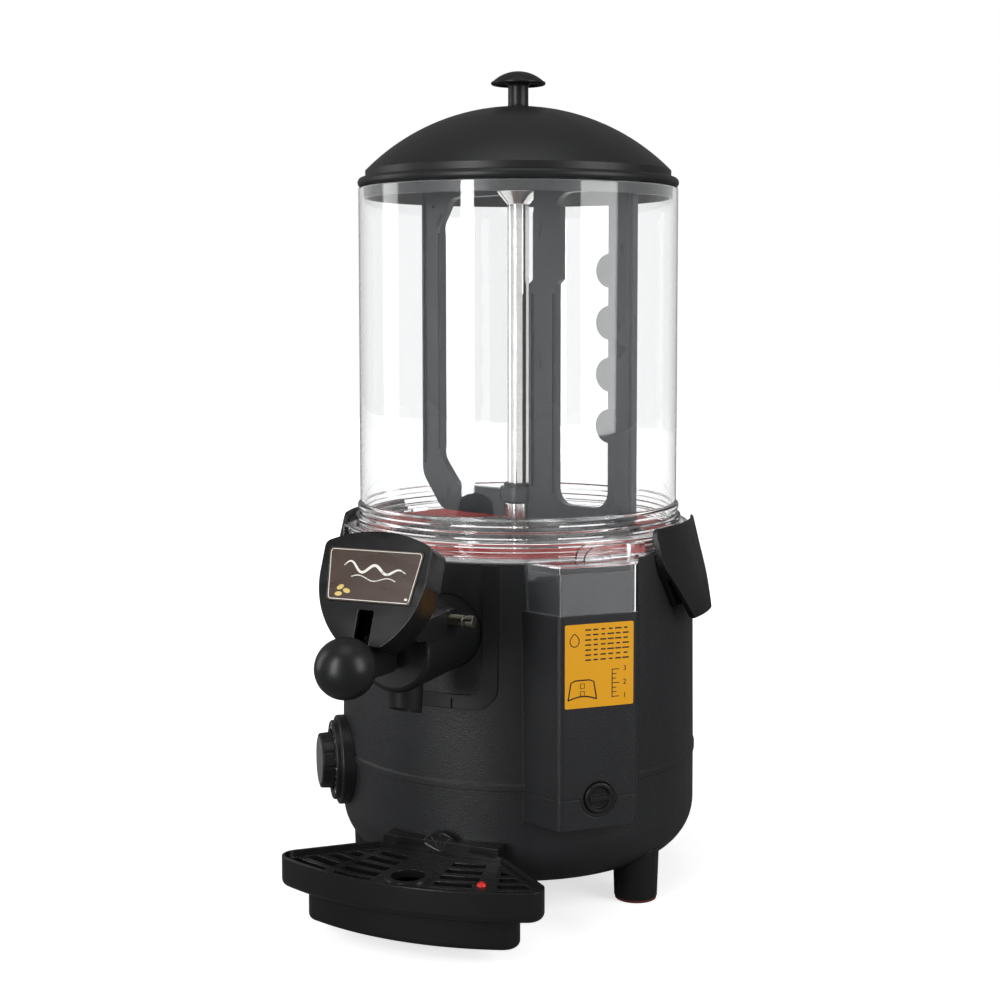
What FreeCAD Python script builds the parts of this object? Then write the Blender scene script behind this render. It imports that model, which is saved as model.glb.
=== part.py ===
import FreeCAD, Part
import math
import os

# Countertop hot chocolate dispenser: a heated bowl with a turning paddle on a round black body,
# a lever tap in front, a water filler box at the right front and a drip tray below the tap.
# Millimetres, +Z up, the front looks along -Y, the counter is Z = 0 and X = 0 is the middle.
# Every piece is first made round the bowl's own axis, and set back to its place at the very end.

# Clearances
running_fit = 0.05
slide_gap = 0.3
rest_gap = 0.3
free_gap = 0.6

# Body casing
base_z = 22.0
seam_z = 92.5
body_top_z = 244.0
seam_r = 128.0
body_top_r = 126.7
base_corner_r = 34.0
shell_wall = 2.6
seam_lip = 0.8
seam_lip_height = 5.0
spigot_height = 5.0
deck_r = 106.0
deck_wall = 3.0
base_opening_r = 82.0

# Feet and bottom plate
foot_circle_r = 106.5
foot_angles = (73.0, 140.0, -140.0, -73.0)
foot_top_r = 16.5
foot_bottom_r = 15.0
foot_height = 45.0
pad_wall = 2.0
pad_inset = 0.6
bottom_plate_r = 92.0
sheet_wall = 1.2
vent_count = 9
vent_length = 34.0
vent_width = 3.0
vent_pitch = 8.0
bottom_screw_r = 3.5
bottom_screw_head = 2.0
bottom_screw_circle_r = 87.0
gland_r = 8.0
gland_angle = 205.0
gland_z = 40.0
gland_setback = 1.5
gland_bore_r = 4.0

# Clear bowl
bowl_r = 114.5
bowl_wall = 3.0
bowl_top_z = 496.0
bowl_ring_z = 269.0
bowl_ring_width = 1.8
bowl_step_width = 3.3
bowl_flange_width = 9.3
bowl_flange_z = 257.0
lug_angles = (62.0, -62.0, 118.0, -118.0)
lug_width = 14.0
lug_reach = 3.0

# Seals, pan and water jacket
jacket_r = 110.0
jacket_bottom_z = 150.0
jacket_flange_width = 11.0
pan_inset = 13.0
pan_bottom_z = 172.0
pan_corner_r = 20.0
pan_flange_inset = 2.0
seal_wall = 2.0
seal_width = 11.0
seal_lip_height = 6.5
chassis_gap = 1.0
chassis_wall = 2.0
standoff_r = 6.0
standoff_circle_r = 92.0
standoff_count = 4
element_ring_r = 62.0
element_tube_r = 4.0
element_leg_x = 10.0
element_leg_z = 140.0

# Middle tube, drive and motor
tube_r = 8.0
tube_wall = 1.5
sleeve_r = 10.0
sleeve_top_z = 270.0
tube_cone_z = 485.0
tube_cone_r = 15.4
tube_top_z = 495.0
tube_rim = 1.0
shaft_r = 4.0
shaft_square = 8.0
shaft_square_z = 491.0
shaft_top_z = 507.0
bush_length = 14.0
gearbox_width = 62.0
gearbox_height = 24.0
motor_r = 29.0
motor_height = 30.0

# Paddle, flat and upright, turning round the tube
paddle_angle = 72.5
paddle_wall = 6.0
paddle_bottom_z = 259.0
paddle_bar_z = 271.5
paddle_top_z = 507.0
paddle_window_top_z = 492.0
paddle_right = 103.0
paddle_right_inner = 83.0
paddle_left = 93.0
paddle_left_inner = 74.0
paddle_left_window_z = 278.6
paddle_post_inner = 16.0
paddle_post_outer = 37.0
paddle_post_step = 3.8
paddle_post_step_z = 431.0
scallop_count = 4
scallop_first_z = 329.5
scallop_pitch = 35.8
scallop_reach = 10.5
paddle_rib = 1.6
paddle_rib_height = 1.6
hub_r = 13.0
hub_bottom_z = 271.5
hub_top_z = 281.5
top_hub_r = 13.0
top_hub_z = 496.5
hub_bush_wall = 2.0

# Lid and its knob
lid_proud = 0.6
lid_bead_height = 7.0
lid_dome_r = 153.4
lid_dome_inset = 1.9
lid_rise = 58.4
lid_wall = 2.4
lid_skirt_gap = 0.9
lid_skirt_drop = 7.5
knob_r = 19.6
knob_stem_r = 7.3
knob_height = 25.1
knob_brim_height = 16.6
knob_dish = 4.0
knob_screw_r = 2.4
knob_screw_length = 14.0

# Carry handles
handle_depth = 14.5
handle_top_z = 263.5
handle_tip_z = 189.0
handle_plate_z = 205.5
handle_half_width = 42.0
handle_tip_half = 17.0
handle_side_z = 232.0
handle_plate_wall = 3.4
handle_flap_wall = 4.2
handle_screw_t = 24.0
handle_screw_z = 217.5
handle_screw_r = 3.2

# Water filler box and its clear cover
box_angle = 43.0
box_depth = 22.5
box_half_face = 27.5
box_half_back = 44.0
box_root = 12.0
box_bottom_z = 72.0
box_top_z = 213.3
box_wall = 2.6
box_corner_r = 5.0
box_floor_z = 106.0
collar_top_z = 240.0
collar_inset = 3.4
cover_top_z = 246.5
cover_wall = 2.0
cover_tab_r = 9.2
cover_tab_wall = 2.4
cover_tab_spacing = 14.0
drain_z = 92.5
drain_boss_r = 12.5
drain_cap_r = 10.2
drain_cap_proud = 3.0
drain_recess = 4.0
drain_grip_wall = 3.0

# Tap: body, valve, spring, lever and hood
tap_z = 198.0
tap_r = 25.0
tap_length = 77.0
tap_seal_wall = 2.3
tap_spigot_r = 17.0
outlet_z = 192.0
outlet_bore_r = 10.0
outlet_wall = 2.4
outlet_proud = 2.0
valve_setback = 18.0
valve_chamber_r = 10.6
valve_seat_z = 182.0
valve_disc_r = 9.2
valve_disc_wall = 4.0
valve_seal_wall = 1.8
spout_bore_r = 8.0
spout_r = 10.6
spout_z = 154.9
spout_slant = 9.0
stem_r = 3.5
block_half = 24.0
block_start = 30.0
block_length = 61.0
block_top_z = 221.0
block_corner_r = 4.0
fork_half = 8.2
fork_floor_z = 206.0
pivot_from_valve = 16.0
pivot_z = 215.0
pivot_r = 4.0
pivot_reach = 41.0
pivot_groove = 0.6
lever_arm_half = 7.0
lever_web = 4.5
lever_length = 94.5
ball_z = 201.4
ball_r = 18.5
ball_stud_r = 3.0
ball_collar_r = 8.0
valve_head_r = 6.5
valve_head_wall = 3.0
cap_r = 12.0
cap_bore_r = 8.9
cap_top_z = 252.0
spring_r = 6.0
spring_wire_r = 0.6
spring_turns = 6
hood_tilt = 23.5
hood_top_z = 276.5
hood_half = 36.2
hood_shoulder = 8.0
hood_corner_r = 5.0
hood_side = 27.0
hood_length = 71.0
hood_bottom_half = 13.5
hood_depth = 22.0
hood_wall = 3.0
hood_slot_half = 5.3
hood_slot_top = 49.0
plate_top_half = 32.0
plate_bottom_half = 28.0
plate_top = 11.5
plate_bottom = 44.5
plate_wall = 1.2
plate_recess = 0.6
bezel_half = 36.4
bezel_inner_half = 26.2
bezel_bottom_z = 146.7
bezel_inner_z = 156.4
bezel_corner_r = 16.0
bezel_proud = 1.2

# Temperature knob
dial_angle = -54.0
dial_z = 87.5
dial_bezel_r = 31.5
dial_bezel_height = 6.0
dial_step_r = 28.0
dial_step_height = 3.6
dial_recess_r = 21.5
dial_knob_r = 20.0
dial_knob_height = 13.5
dial_face_r = 17.0
dial_face_wall = 1.2
dial_shaft_r = 3.0
dial_shaft_depth = 24.0
dial_bush_wall = 3.0
dial_switch_width = 24.0
dial_switch_height = 18.0
dial_switch_depth = 32.0
dial_switch_gap = 11.0

# Drip tray and its grid
tray_length = 82.0
tray_edge_angle = 28.6
tray_back_half = 45.0
tray_gap = 6.0
tray_corner_r = 11.0
tray_top_z = 53.0
tray_skirt_z = 33.0
tray_bottom_z = 12.0
tray_wall = 2.4
tray_step = 10.0
tray_step_side = 14.0
grid_ledge = 2.6
grid_wall = 4.0
grid_top_z = 49.5
slot_inset = 10.0
slot_pitch = 12.0
slot_rows = 5
slot_width = 7.4
slot_border = 5.0
slot_columns = ((-27.0, -16.5), (-14.5, -6.0), (6.0, 14.5), (18.5, 27.0))
ring_inset = 26.0
ring_r = 15.0
ring_bore_r = 11.0
ring_height = 1.2
float_angle = 15.4
float_inset = 23.0
float_r = 9.0
float_stem_r = 3.2
float_top_z = 52.0
float_body_height = 9.0
tray_hook_x = 28.0
tray_hook_half = 7.0
tray_hook_z = 40.0
tray_hook_wall = 4.0
tray_hook_length = 19.0
tab_r = 15.0
tab_wall = 2.0
tab_rib = 0.5
tab_base_z = 49.0
neck_half = 42.0
neck_z = 36.0
neck_top_z = 58.0

# Places that follow from the sizes above
gland_reach = seam_r - gland_setback
bowl_ring_r = bowl_r + bowl_ring_width
bowl_step_r = bowl_r + bowl_step_width
bowl_flange_r = bowl_r + bowl_flange_width
jacket_flange_r = jacket_r + jacket_flange_width
pan_r = jacket_r - pan_inset
pan_flange_r = jacket_flange_r - pan_flange_inset
handle_reach = seam_r + handle_depth
box_face = seam_r + box_depth
box_back = seam_r - box_root
drain_cap_face = box_face + drain_cap_proud
outlet_reach = jacket_r + outlet_proud
tap_rear = outlet_reach + tap_seal_wall
tap_front = seam_r + tap_length
valve_y = tap_front - valve_setback
pivot_y = valve_y - pivot_from_valve
block_back = seam_r + block_start
block_front = block_back + block_length
hood_top_y = block_front
ball_y = pivot_y + lever_length
dial_bezel_reach = seam_r + dial_bezel_height
dial_step_reach = dial_bezel_reach + dial_step_height
dial_knob_reach = dial_bezel_reach + dial_knob_height
dial_shaft_back = seam_r - dial_shaft_depth
dial_switch_back = seam_r - dial_switch_depth
dial_switch_front = seam_r - dial_switch_gap
tray_back = seam_r + tray_gap
tray_front_r = seam_r + tray_length
slot_first_r = tray_front_r - slot_inset
ring_y = tray_front_r - ring_inset
float_circle_r = tray_front_r - float_inset
tray_hook_end = tray_back - tray_hook_length
spigot_z = seam_z + spigot_height
spigot_r = seam_r - shell_wall - slide_gap
chassis_z = spigot_z + chassis_wall
chassis_r = spigot_r - shell_wall - chassis_gap
element_leg_y = math.sqrt(element_ring_r ** 2 - element_leg_x ** 2)
jacket_flange_z = body_top_z + sheet_wall
pan_flange_z = jacket_flange_z + sheet_wall
seal_top_z = pan_flange_z + seal_wall
bowl_bottom_z = seal_top_z + rest_gap
bowl_inner_r = bowl_r - bowl_wall
seal_inner_r = bowl_inner_r - seal_width
lid_r = bowl_r + lid_proud
lid_skirt_r = bowl_inner_r - lid_skirt_gap
lid_dome_base_r = bowl_inner_r - lid_dome_inset
lid_bead_z = bowl_top_z + rest_gap
lid_skirt_z = bowl_top_z - lid_skirt_drop
lid_apex_z = bowl_top_z + lid_rise
knob_brim_z = lid_apex_z + knob_brim_height
knob_top_z = lid_apex_z + knob_height
lever_top_z = pivot_z + 7.0
valve_head_z = lever_top_z + rest_gap
grid_bottom_z = grid_top_z - grid_wall
machine_front = ball_y + ball_r
axis_setback = (machine_front - max(seam_r + seam_lip, gland_reach)) / 2

up = FreeCAD.Vector(0, 0, 1)
front = FreeCAD.Vector(0, -1, 0)
back = FreeCAD.Vector(0, 1, 0)
right = FreeCAD.Vector(1, 0, 0)


def point(x, y, z):
    return FreeCAD.Vector(x, y, z)


# A closed outline from corners (u, v) or (u, v, radius), put in space by place(u, v)
def outline(corners, place):
    spots = [place(corner[0], corner[1]) for corner in corners]
    radii = [corner[2] if len(corner) > 2 else 0.0 for corner in corners]
    starts = []
    ends = []
    middles = []
    for i, spot in enumerate(spots):
        to_last = (spots[i - 1] - spot).normalize()
        to_next = (spots[(i + 1) % len(spots)] - spot).normalize()
        half_turn = to_last.getAngle(to_next) / 2
        reach = radii[i] / math.tan(half_turn)
        starts.append(spot + to_last * reach)
        ends.append(spot + to_next * reach)
        inward = (to_last + to_next).normalize()
        middles.append(spot + inward * (radii[i] / math.sin(half_turn) - radii[i]))
    edges = []
    for i in range(len(spots)):
        if radii[i] > 0:
            edges.append(Part.Arc(starts[i], middles[i], ends[i]).toShape())
        following = starts[(i + 1) % len(spots)]
        if ends[i].distanceToPoint(following) > 1e-6:
            edges.append(Part.LineSegment(ends[i], following).toShape())
    return Part.Wire(edges)


def face_of(wire):
    return Part.Face(wire)


# A ring or disc turned round the upright axis from corners (radius, height)
def turned(corners, angle=360):
    profile = face_of(outline(corners, lambda r, z: point(r, 0, z)))
    return profile.revolve(point(0, 0, 0), up, angle)


# The same, but turned round a level axis that runs forward at height z, corners (radius, reach)
def turned_forward(corners, z):
    profile = face_of(outline(corners, lambda r, reach: point(r, -reach, z)))
    return profile.revolve(point(0, 0, z), back, 360)


def upright(corners, z_low, z_high):
    flat = face_of(outline(corners, lambda x, y: point(x, y, z_low)))
    return flat.extrude(up * (z_high - z_low))


# A plate cut from the front view, corners (x, z), between two reaches in front of the axis
def front_plate(corners, reach_low, reach_high):
    flat = face_of(outline(corners, lambda x, z: point(x, -reach_low, z)))
    return flat.extrude(front * (reach_high - reach_low))


# A plate cut from the side view, corners (reach, z), centred on X = 0
def side_plate(corners, half):
    flat = face_of(outline(corners, lambda reach, z: point(-half, -reach, z)))
    return flat.extrude(right * (2 * half))


def rod(radius, start, end):
    run = end - start
    return Part.makeCylinder(radius, run.Length, start, run)


def block(x_low, x_high, reach_low, reach_high, z_low, z_high):
    corner = point(x_low, -reach_high, z_low)
    return Part.makeBox(x_high - x_low, reach_high - reach_low, z_high - z_low, corner)


# A piece made at the front, swung round the upright axis, to the right of the front for plus
def swung(shape, angle):
    other = shape.copy()
    other.rotate(point(0, 0, 0), up, angle)
    return other


def joined(shapes):
    whole = shapes[0]
    for shape in shapes[1:]:
        whole = whole.fuse(shape)
    return whole.removeSplitter()


def spot_on_circle(radius, angle, z):
    turn = math.radians(angle)
    return point(radius * math.sin(turn), -radius * math.cos(turn), z)


# Casing
def body_radius(z):
    share = (z - seam_z) / (body_top_z - seam_z)
    return seam_r + (body_top_r - seam_r) * share


# The closed outer form of the upper casing, larger by proud all round
def upper_form(proud):
    return turned([(0, seam_z), (seam_r + proud, seam_z),
                   (body_top_r + proud, body_top_z), (0, body_top_z)])


def base_form(inset, top_z):
    return turned([(0, base_z + inset), (seam_r - inset, base_z + inset, base_corner_r - inset),
                   (seam_r - inset, top_z), (0, top_z)])


# The filler box in plan, from the front, pulled in by inset on every side
def box_corners(inset):
    run = box_half_back - box_half_face
    depth = box_face - box_back
    slant = math.hypot(run, depth) / depth
    half_face = box_half_face - inset * slant + inset * run / depth
    half_back = box_half_back - inset * slant
    radius = max(box_corner_r - inset, 1.0)
    return [(-half_face, -(box_face - inset), radius), (half_face, -(box_face - inset), radius),
            (half_back, -box_back), (-half_back, -box_back)]


def box_prism(inset, z_low, z_high):
    return swung(upright(box_corners(inset), z_low, z_high), box_angle)


def drain_rod(radius, reach_low, reach_high):
    start = spot_on_circle(reach_low, box_angle, drain_z)
    end = spot_on_circle(reach_high, box_angle, drain_z)
    return rod(radius, start, end)


def base_shell():
    shell = base_form(0, seam_z).cut(base_form(shell_wall, seam_z + 1))
    shell = shell.cut(Part.makeCylinder(base_opening_r, 2 * shell_wall, point(0, 0, base_z - shell_wall)))
    spigot = turned([(spigot_r - shell_wall, seam_z - 8), (spigot_r + slide_gap, seam_z - 8),
                     (spigot_r + slide_gap, seam_z - slide_gap), (spigot_r, seam_z),
                     (spigot_r, spigot_z), (spigot_r - shell_wall, spigot_z)])
    lower_box = box_prism(0, box_bottom_z, seam_z).cut(base_form(shell_wall, seam_z + 1))
    hollow = box_prism(box_wall, box_bottom_z + box_wall, seam_z + 1).cut(base_form(0, seam_z + 2))
    shell = joined([shell, spigot, lower_box]).cut(hollow)
    shell = shell.cut(drain_rod(drain_boss_r + slide_gap, seam_r + 1, box_face + 1))
    for side in (-1, 1):
        low = side * tray_hook_x - tray_hook_half - slide_gap
        high = side * tray_hook_x + tray_hook_half + slide_gap
        z_low = tray_hook_z - slide_gap
        z_high = tray_hook_z + tray_hook_wall + slide_gap
        shell = shell.cut(block(low, high, tray_hook_end - 2, seam_r + 2, z_low, z_high))
    shaft_hole = rod(dial_shaft_r + free_gap, point(0, -dial_switch_front, dial_z),
                     point(0, -seam_r - 2, dial_z))
    gland_hole = rod(gland_r - 2, spot_on_circle(seam_r - base_corner_r, gland_angle, gland_z),
                     spot_on_circle(gland_reach, gland_angle, gland_z))
    return shell.cut(swung(shaft_hole, dial_angle)).cut(gland_hole)


def upper_shell():
    inside = turned([(0, seam_z - 1), (seam_r - shell_wall, seam_z - 1),
                     (body_top_r - shell_wall, body_top_z - deck_wall), (0, body_top_z - deck_wall)])
    lip = turned([(seam_r - shell_wall, seam_z), (seam_r + seam_lip, seam_z),
                  (seam_r + seam_lip, seam_z + seam_lip_height - seam_lip),
                  (seam_r - 1, seam_z + seam_lip_height + 1), (seam_r - shell_wall, seam_z + 2)])
    box = box_prism(0, seam_z, box_top_z)
    collar = box_prism(collar_inset, box_top_z - 10, collar_top_z)
    solid = joined([upper_form(0), lip, box, collar])
    water = box_prism(collar_inset + box_wall, box_floor_z, collar_top_z + 1).cut(upper_form(0))
    below = box_prism(box_wall, seam_z - 1, box_floor_z - box_wall).cut(upper_form(0))
    shell = solid.cut(inside).cut(water).cut(below)
    shell = shell.cut(Part.makeCylinder(deck_r, 2 * deck_wall, point(0, 0, body_top_z - 2 * deck_wall)))
    jacket_well = Part.makeCylinder(jacket_r + rest_gap, 2 * deck_wall,
                                    point(0, 0, body_top_z - 2 * deck_wall))
    boss = drain_rod(drain_boss_r, seam_r + 2, box_face)
    recess = drain_rod(drain_cap_r + free_gap, box_face - drain_recess, box_face + 1)
    tap_hole = rod(tap_r + slide_gap, point(0, -tap_rear, tap_z), point(0, -seam_r - 5, tap_z))
    shell = shell.cut(jacket_well).cut(tap_hole)
    return joined([shell, boss]).cut(recess)


def foot_places():
    return [spot_on_circle(foot_circle_r, angle, 0) for angle in foot_angles]


def feet():
    form = base_form(0, seam_z)
    legs = []
    for place in foot_places():
        leg = Part.makeCone(foot_bottom_r, foot_top_r, foot_height, place + up * pad_wall)
        legs.append(leg.cut(form))
    return Part.makeCompound(legs)


def foot_pads():
    radius = foot_bottom_r - pad_inset
    return Part.makeCompound([Part.makeCylinder(radius, pad_wall, place) for place in foot_places()])


def bottom_plate():
    plate = Part.makeCylinder(bottom_plate_r, sheet_wall, point(0, 0, base_z + shell_wall))
    first = -(vent_count - 1) / 2 * vent_pitch
    for i in range(vent_count):
        y = first + i * vent_pitch
        half = vent_width / 2
        corners = [(-vent_length, y - half, half * 0.9), (vent_length, y - half, half * 0.9),
                   (vent_length, y + half, half * 0.9), (-vent_length, y + half, half * 0.9)]
        plate = plate.cut(upright(corners, base_z, base_z + 3 * shell_wall))
    return plate


def bottom_screws():
    heads = []
    for angle in (45, 135, 225, 315):
        place = spot_on_circle(bottom_screw_circle_r, angle, base_z - bottom_screw_head)
        heads.append(Part.makeCone(bottom_screw_r - 1, bottom_screw_r, bottom_screw_head, place))
    return Part.makeCompound(heads)


def cable_gland():
    start = spot_on_circle(seam_r - base_corner_r + 24, gland_angle, gland_z)
    end = spot_on_circle(gland_reach, gland_angle, gland_z)
    body = rod(gland_r, start, end).cut(base_form(0, seam_z))
    neck_start = spot_on_circle(seam_r - base_corner_r + 16, gland_angle, gland_z)
    neck = rod(gland_r - 2 - slide_gap, neck_start, end)
    return joined([body, neck]).cut(rod(gland_bore_r, neck_start, end))


# Clear bowl with its ridged foot, flange and lugs
def bowl():
    shell = turned([(bowl_inner_r, bowl_bottom_z), (bowl_step_r, bowl_bottom_z),
                    (bowl_step_r, bowl_flange_z - shell_wall),
                    (bowl_flange_r - shell_wall, bowl_flange_z - shell_wall),
                    (bowl_flange_r - shell_wall, body_top_z + rest_gap),
                    (bowl_flange_r, body_top_z + rest_gap), (bowl_flange_r, bowl_flange_z, 1.5),
                    (bowl_r + 2, bowl_flange_z), (bowl_r + 2, bowl_flange_z + 1.5),
                    (bowl_step_r, bowl_flange_z + 2.5), (bowl_step_r, bowl_flange_z + 5.5),
                    (bowl_r + 0.8, bowl_flange_z + 6.5), (bowl_r + 0.8, bowl_ring_z - 2.5),
                    (bowl_ring_r, bowl_ring_z - 1.5), (bowl_ring_r, bowl_ring_z + 1.5),
                    (bowl_r, bowl_ring_z + 3), (bowl_r, bowl_top_z, 0.8), (bowl_inner_r, bowl_top_z, 0.8)])
    lugs = []
    for angle in lug_angles:
        lug = block(-lug_width / 2, lug_width / 2, bowl_flange_r - 1.5, bowl_flange_r + lug_reach,
                    body_top_z + rest_gap, bowl_flange_z - 3)
        lugs.append(swung(lug, angle))
    return joined([shell] + lugs)


def gasket_lower():
    return turned([(bowl_inner_r - 3, pan_flange_z), (pan_flange_r - 0.5, pan_flange_z),
                   (pan_flange_r - 0.5, seal_top_z), (bowl_inner_r - 3, seal_top_z)])


def gasket_upper():
    outer = bowl_inner_r - rest_gap
    return turned([(seal_inner_r, pan_flange_z), (bowl_inner_r - 3, pan_flange_z),
                   (bowl_inner_r - 3, seal_top_z), (outer, seal_top_z),
                   (outer, pan_flange_z + seal_lip_height, 1), (outer - 3, pan_flange_z + seal_lip_height, 1),
                   (outer - 5, seal_top_z + 1), (seal_inner_r, seal_top_z - 0.5)])


def heating_vessel():
    pan = turned([(0, pan_bottom_z), (pan_r, pan_bottom_z, pan_corner_r),
                  (pan_r, jacket_flange_z), (pan_flange_r, jacket_flange_z),
                  (pan_flange_r, pan_flange_z), (pan_r - sheet_wall, pan_flange_z),
                  (pan_r - sheet_wall, pan_bottom_z + sheet_wall, pan_corner_r - sheet_wall),
                  (0, pan_bottom_z + sheet_wall)])
    outlet_r = tap_spigot_r - outlet_wall
    outlet = rod(outlet_r, point(0, -pan_r + 6, outlet_z), point(0, -outlet_reach, outlet_z))
    inside = Part.makeCylinder(pan_r - sheet_wall, 90, point(0, 0, pan_bottom_z + sheet_wall))
    pan = joined([pan, outlet.cut(inside)])
    bore = rod(outlet_bore_r, point(0, -pan_r + 20, outlet_z), point(0, -outlet_reach - 1, outlet_z))
    tube_hole = Part.makeCylinder(sleeve_r + running_fit, 10, point(0, 0, pan_bottom_z - 5))
    return pan.cut(bore).cut(tube_hole)


def water_jacket():
    inner_r = jacket_r - sheet_wall
    jacket = turned([(0, jacket_bottom_z), (jacket_r, jacket_bottom_z, 8), (jacket_r, body_top_z),
                     (jacket_flange_r, body_top_z), (jacket_flange_r, jacket_flange_z),
                     (inner_r, jacket_flange_z), (inner_r, jacket_bottom_z + sheet_wall, 8 - sheet_wall),
                     (0, jacket_bottom_z + sheet_wall)])
    outlet_r = tap_spigot_r - outlet_wall + running_fit
    outlet_hole = rod(outlet_r, point(0, -pan_r, outlet_z), point(0, -jacket_r - 5, outlet_z))
    tube_hole = Part.makeCylinder(sleeve_r + running_fit, 10, point(0, 0, jacket_bottom_z - 5))
    jacket = jacket.cut(outlet_hole).cut(tube_hole)
    for side in (-1, 1):
        leg_hole = Part.makeCylinder(element_tube_r + running_fit, 10,
                                     point(side * element_leg_x, element_leg_y, jacket_bottom_z - 5))
        jacket = jacket.cut(leg_hole)
    return jacket


def heating_element():
    z = (jacket_bottom_z + pan_bottom_z) / 2
    gap = math.degrees(math.asin(element_leg_x / element_ring_r))
    section = Part.Wire([Part.makeCircle(element_tube_r, point(element_ring_r, 0, z), back)])
    ring = face_of(section).revolve(point(0, 0, 0), up, 360 - 2 * gap)
    ring.rotate(point(0, 0, 0), up, 90 + gap)
    legs = []
    for side in (-1, 1):
        top = point(side * element_leg_x, element_leg_y, z)
        legs.append(Part.makeSphere(element_tube_r, top))
        legs.append(rod(element_tube_r, top, point(side * element_leg_x, element_leg_y, element_leg_z)))
    return joined([ring] + legs)


def chassis_plate():
    plate = Part.makeCylinder(chassis_r, chassis_wall, point(0, 0, spigot_z))
    return plate.cut(Part.makeCylinder(sleeve_r + running_fit, 10, point(0, 0, spigot_z - 5)))


def standoffs():
    posts = []
    for i in range(standoff_count):
        place = spot_on_circle(standoff_circle_r, 45 + i * 360 / standoff_count, chassis_z)
        posts.append(Part.makeCylinder(standoff_r, jacket_bottom_z - chassis_z, place))
    return Part.makeCompound(posts)


def centre_tube():
    bore = tube_r - tube_wall
    return turned([(bore, spigot_z), (sleeve_r, spigot_z), (sleeve_r, sleeve_top_z, 1),
                   (tube_r, sleeve_top_z), (tube_r, tube_cone_z), (tube_cone_r, tube_top_z - tube_rim),
                   (tube_cone_r, tube_top_z), (tube_cone_r - 1.2, tube_top_z), (bore, tube_cone_z + 1)])


def shaft_bushes():
    bore = tube_r - tube_wall
    rings = []
    for z in (spigot_z + 4, tube_cone_z - bush_length):
        rings.append(turned([(shaft_r + running_fit, z), (bore, z),
                             (bore, z + bush_length), (shaft_r + running_fit, z + bush_length)]))
    return Part.makeCompound(rings)


def drive_shaft():
    shaft = Part.makeCylinder(shaft_r, shaft_top_z - spigot_z, point(0, 0, spigot_z))
    half = shaft_square / 2 * 0.8
    square = block(-half, half, -half, half, shaft_square_z, shaft_top_z)
    turned_down = Part.makeCylinder(2 * shaft_r, shaft_top_z - shaft_square_z, point(0, 0, shaft_square_z))
    return shaft.cut(turned_down.cut(swung(square, paddle_angle)))


def gear_motor():
    half = gearbox_width / 2
    gearbox_z = spigot_z - gearbox_height
    gearbox = upright([(-half, -half, 8), (half, -half, 8), (half, half, 8), (-half, half, 8)],
                      gearbox_z, spigot_z)
    motor = Part.makeCylinder(motor_r, motor_height, point(0, 0, gearbox_z - motor_height))
    return joined([gearbox, motor])


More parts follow.
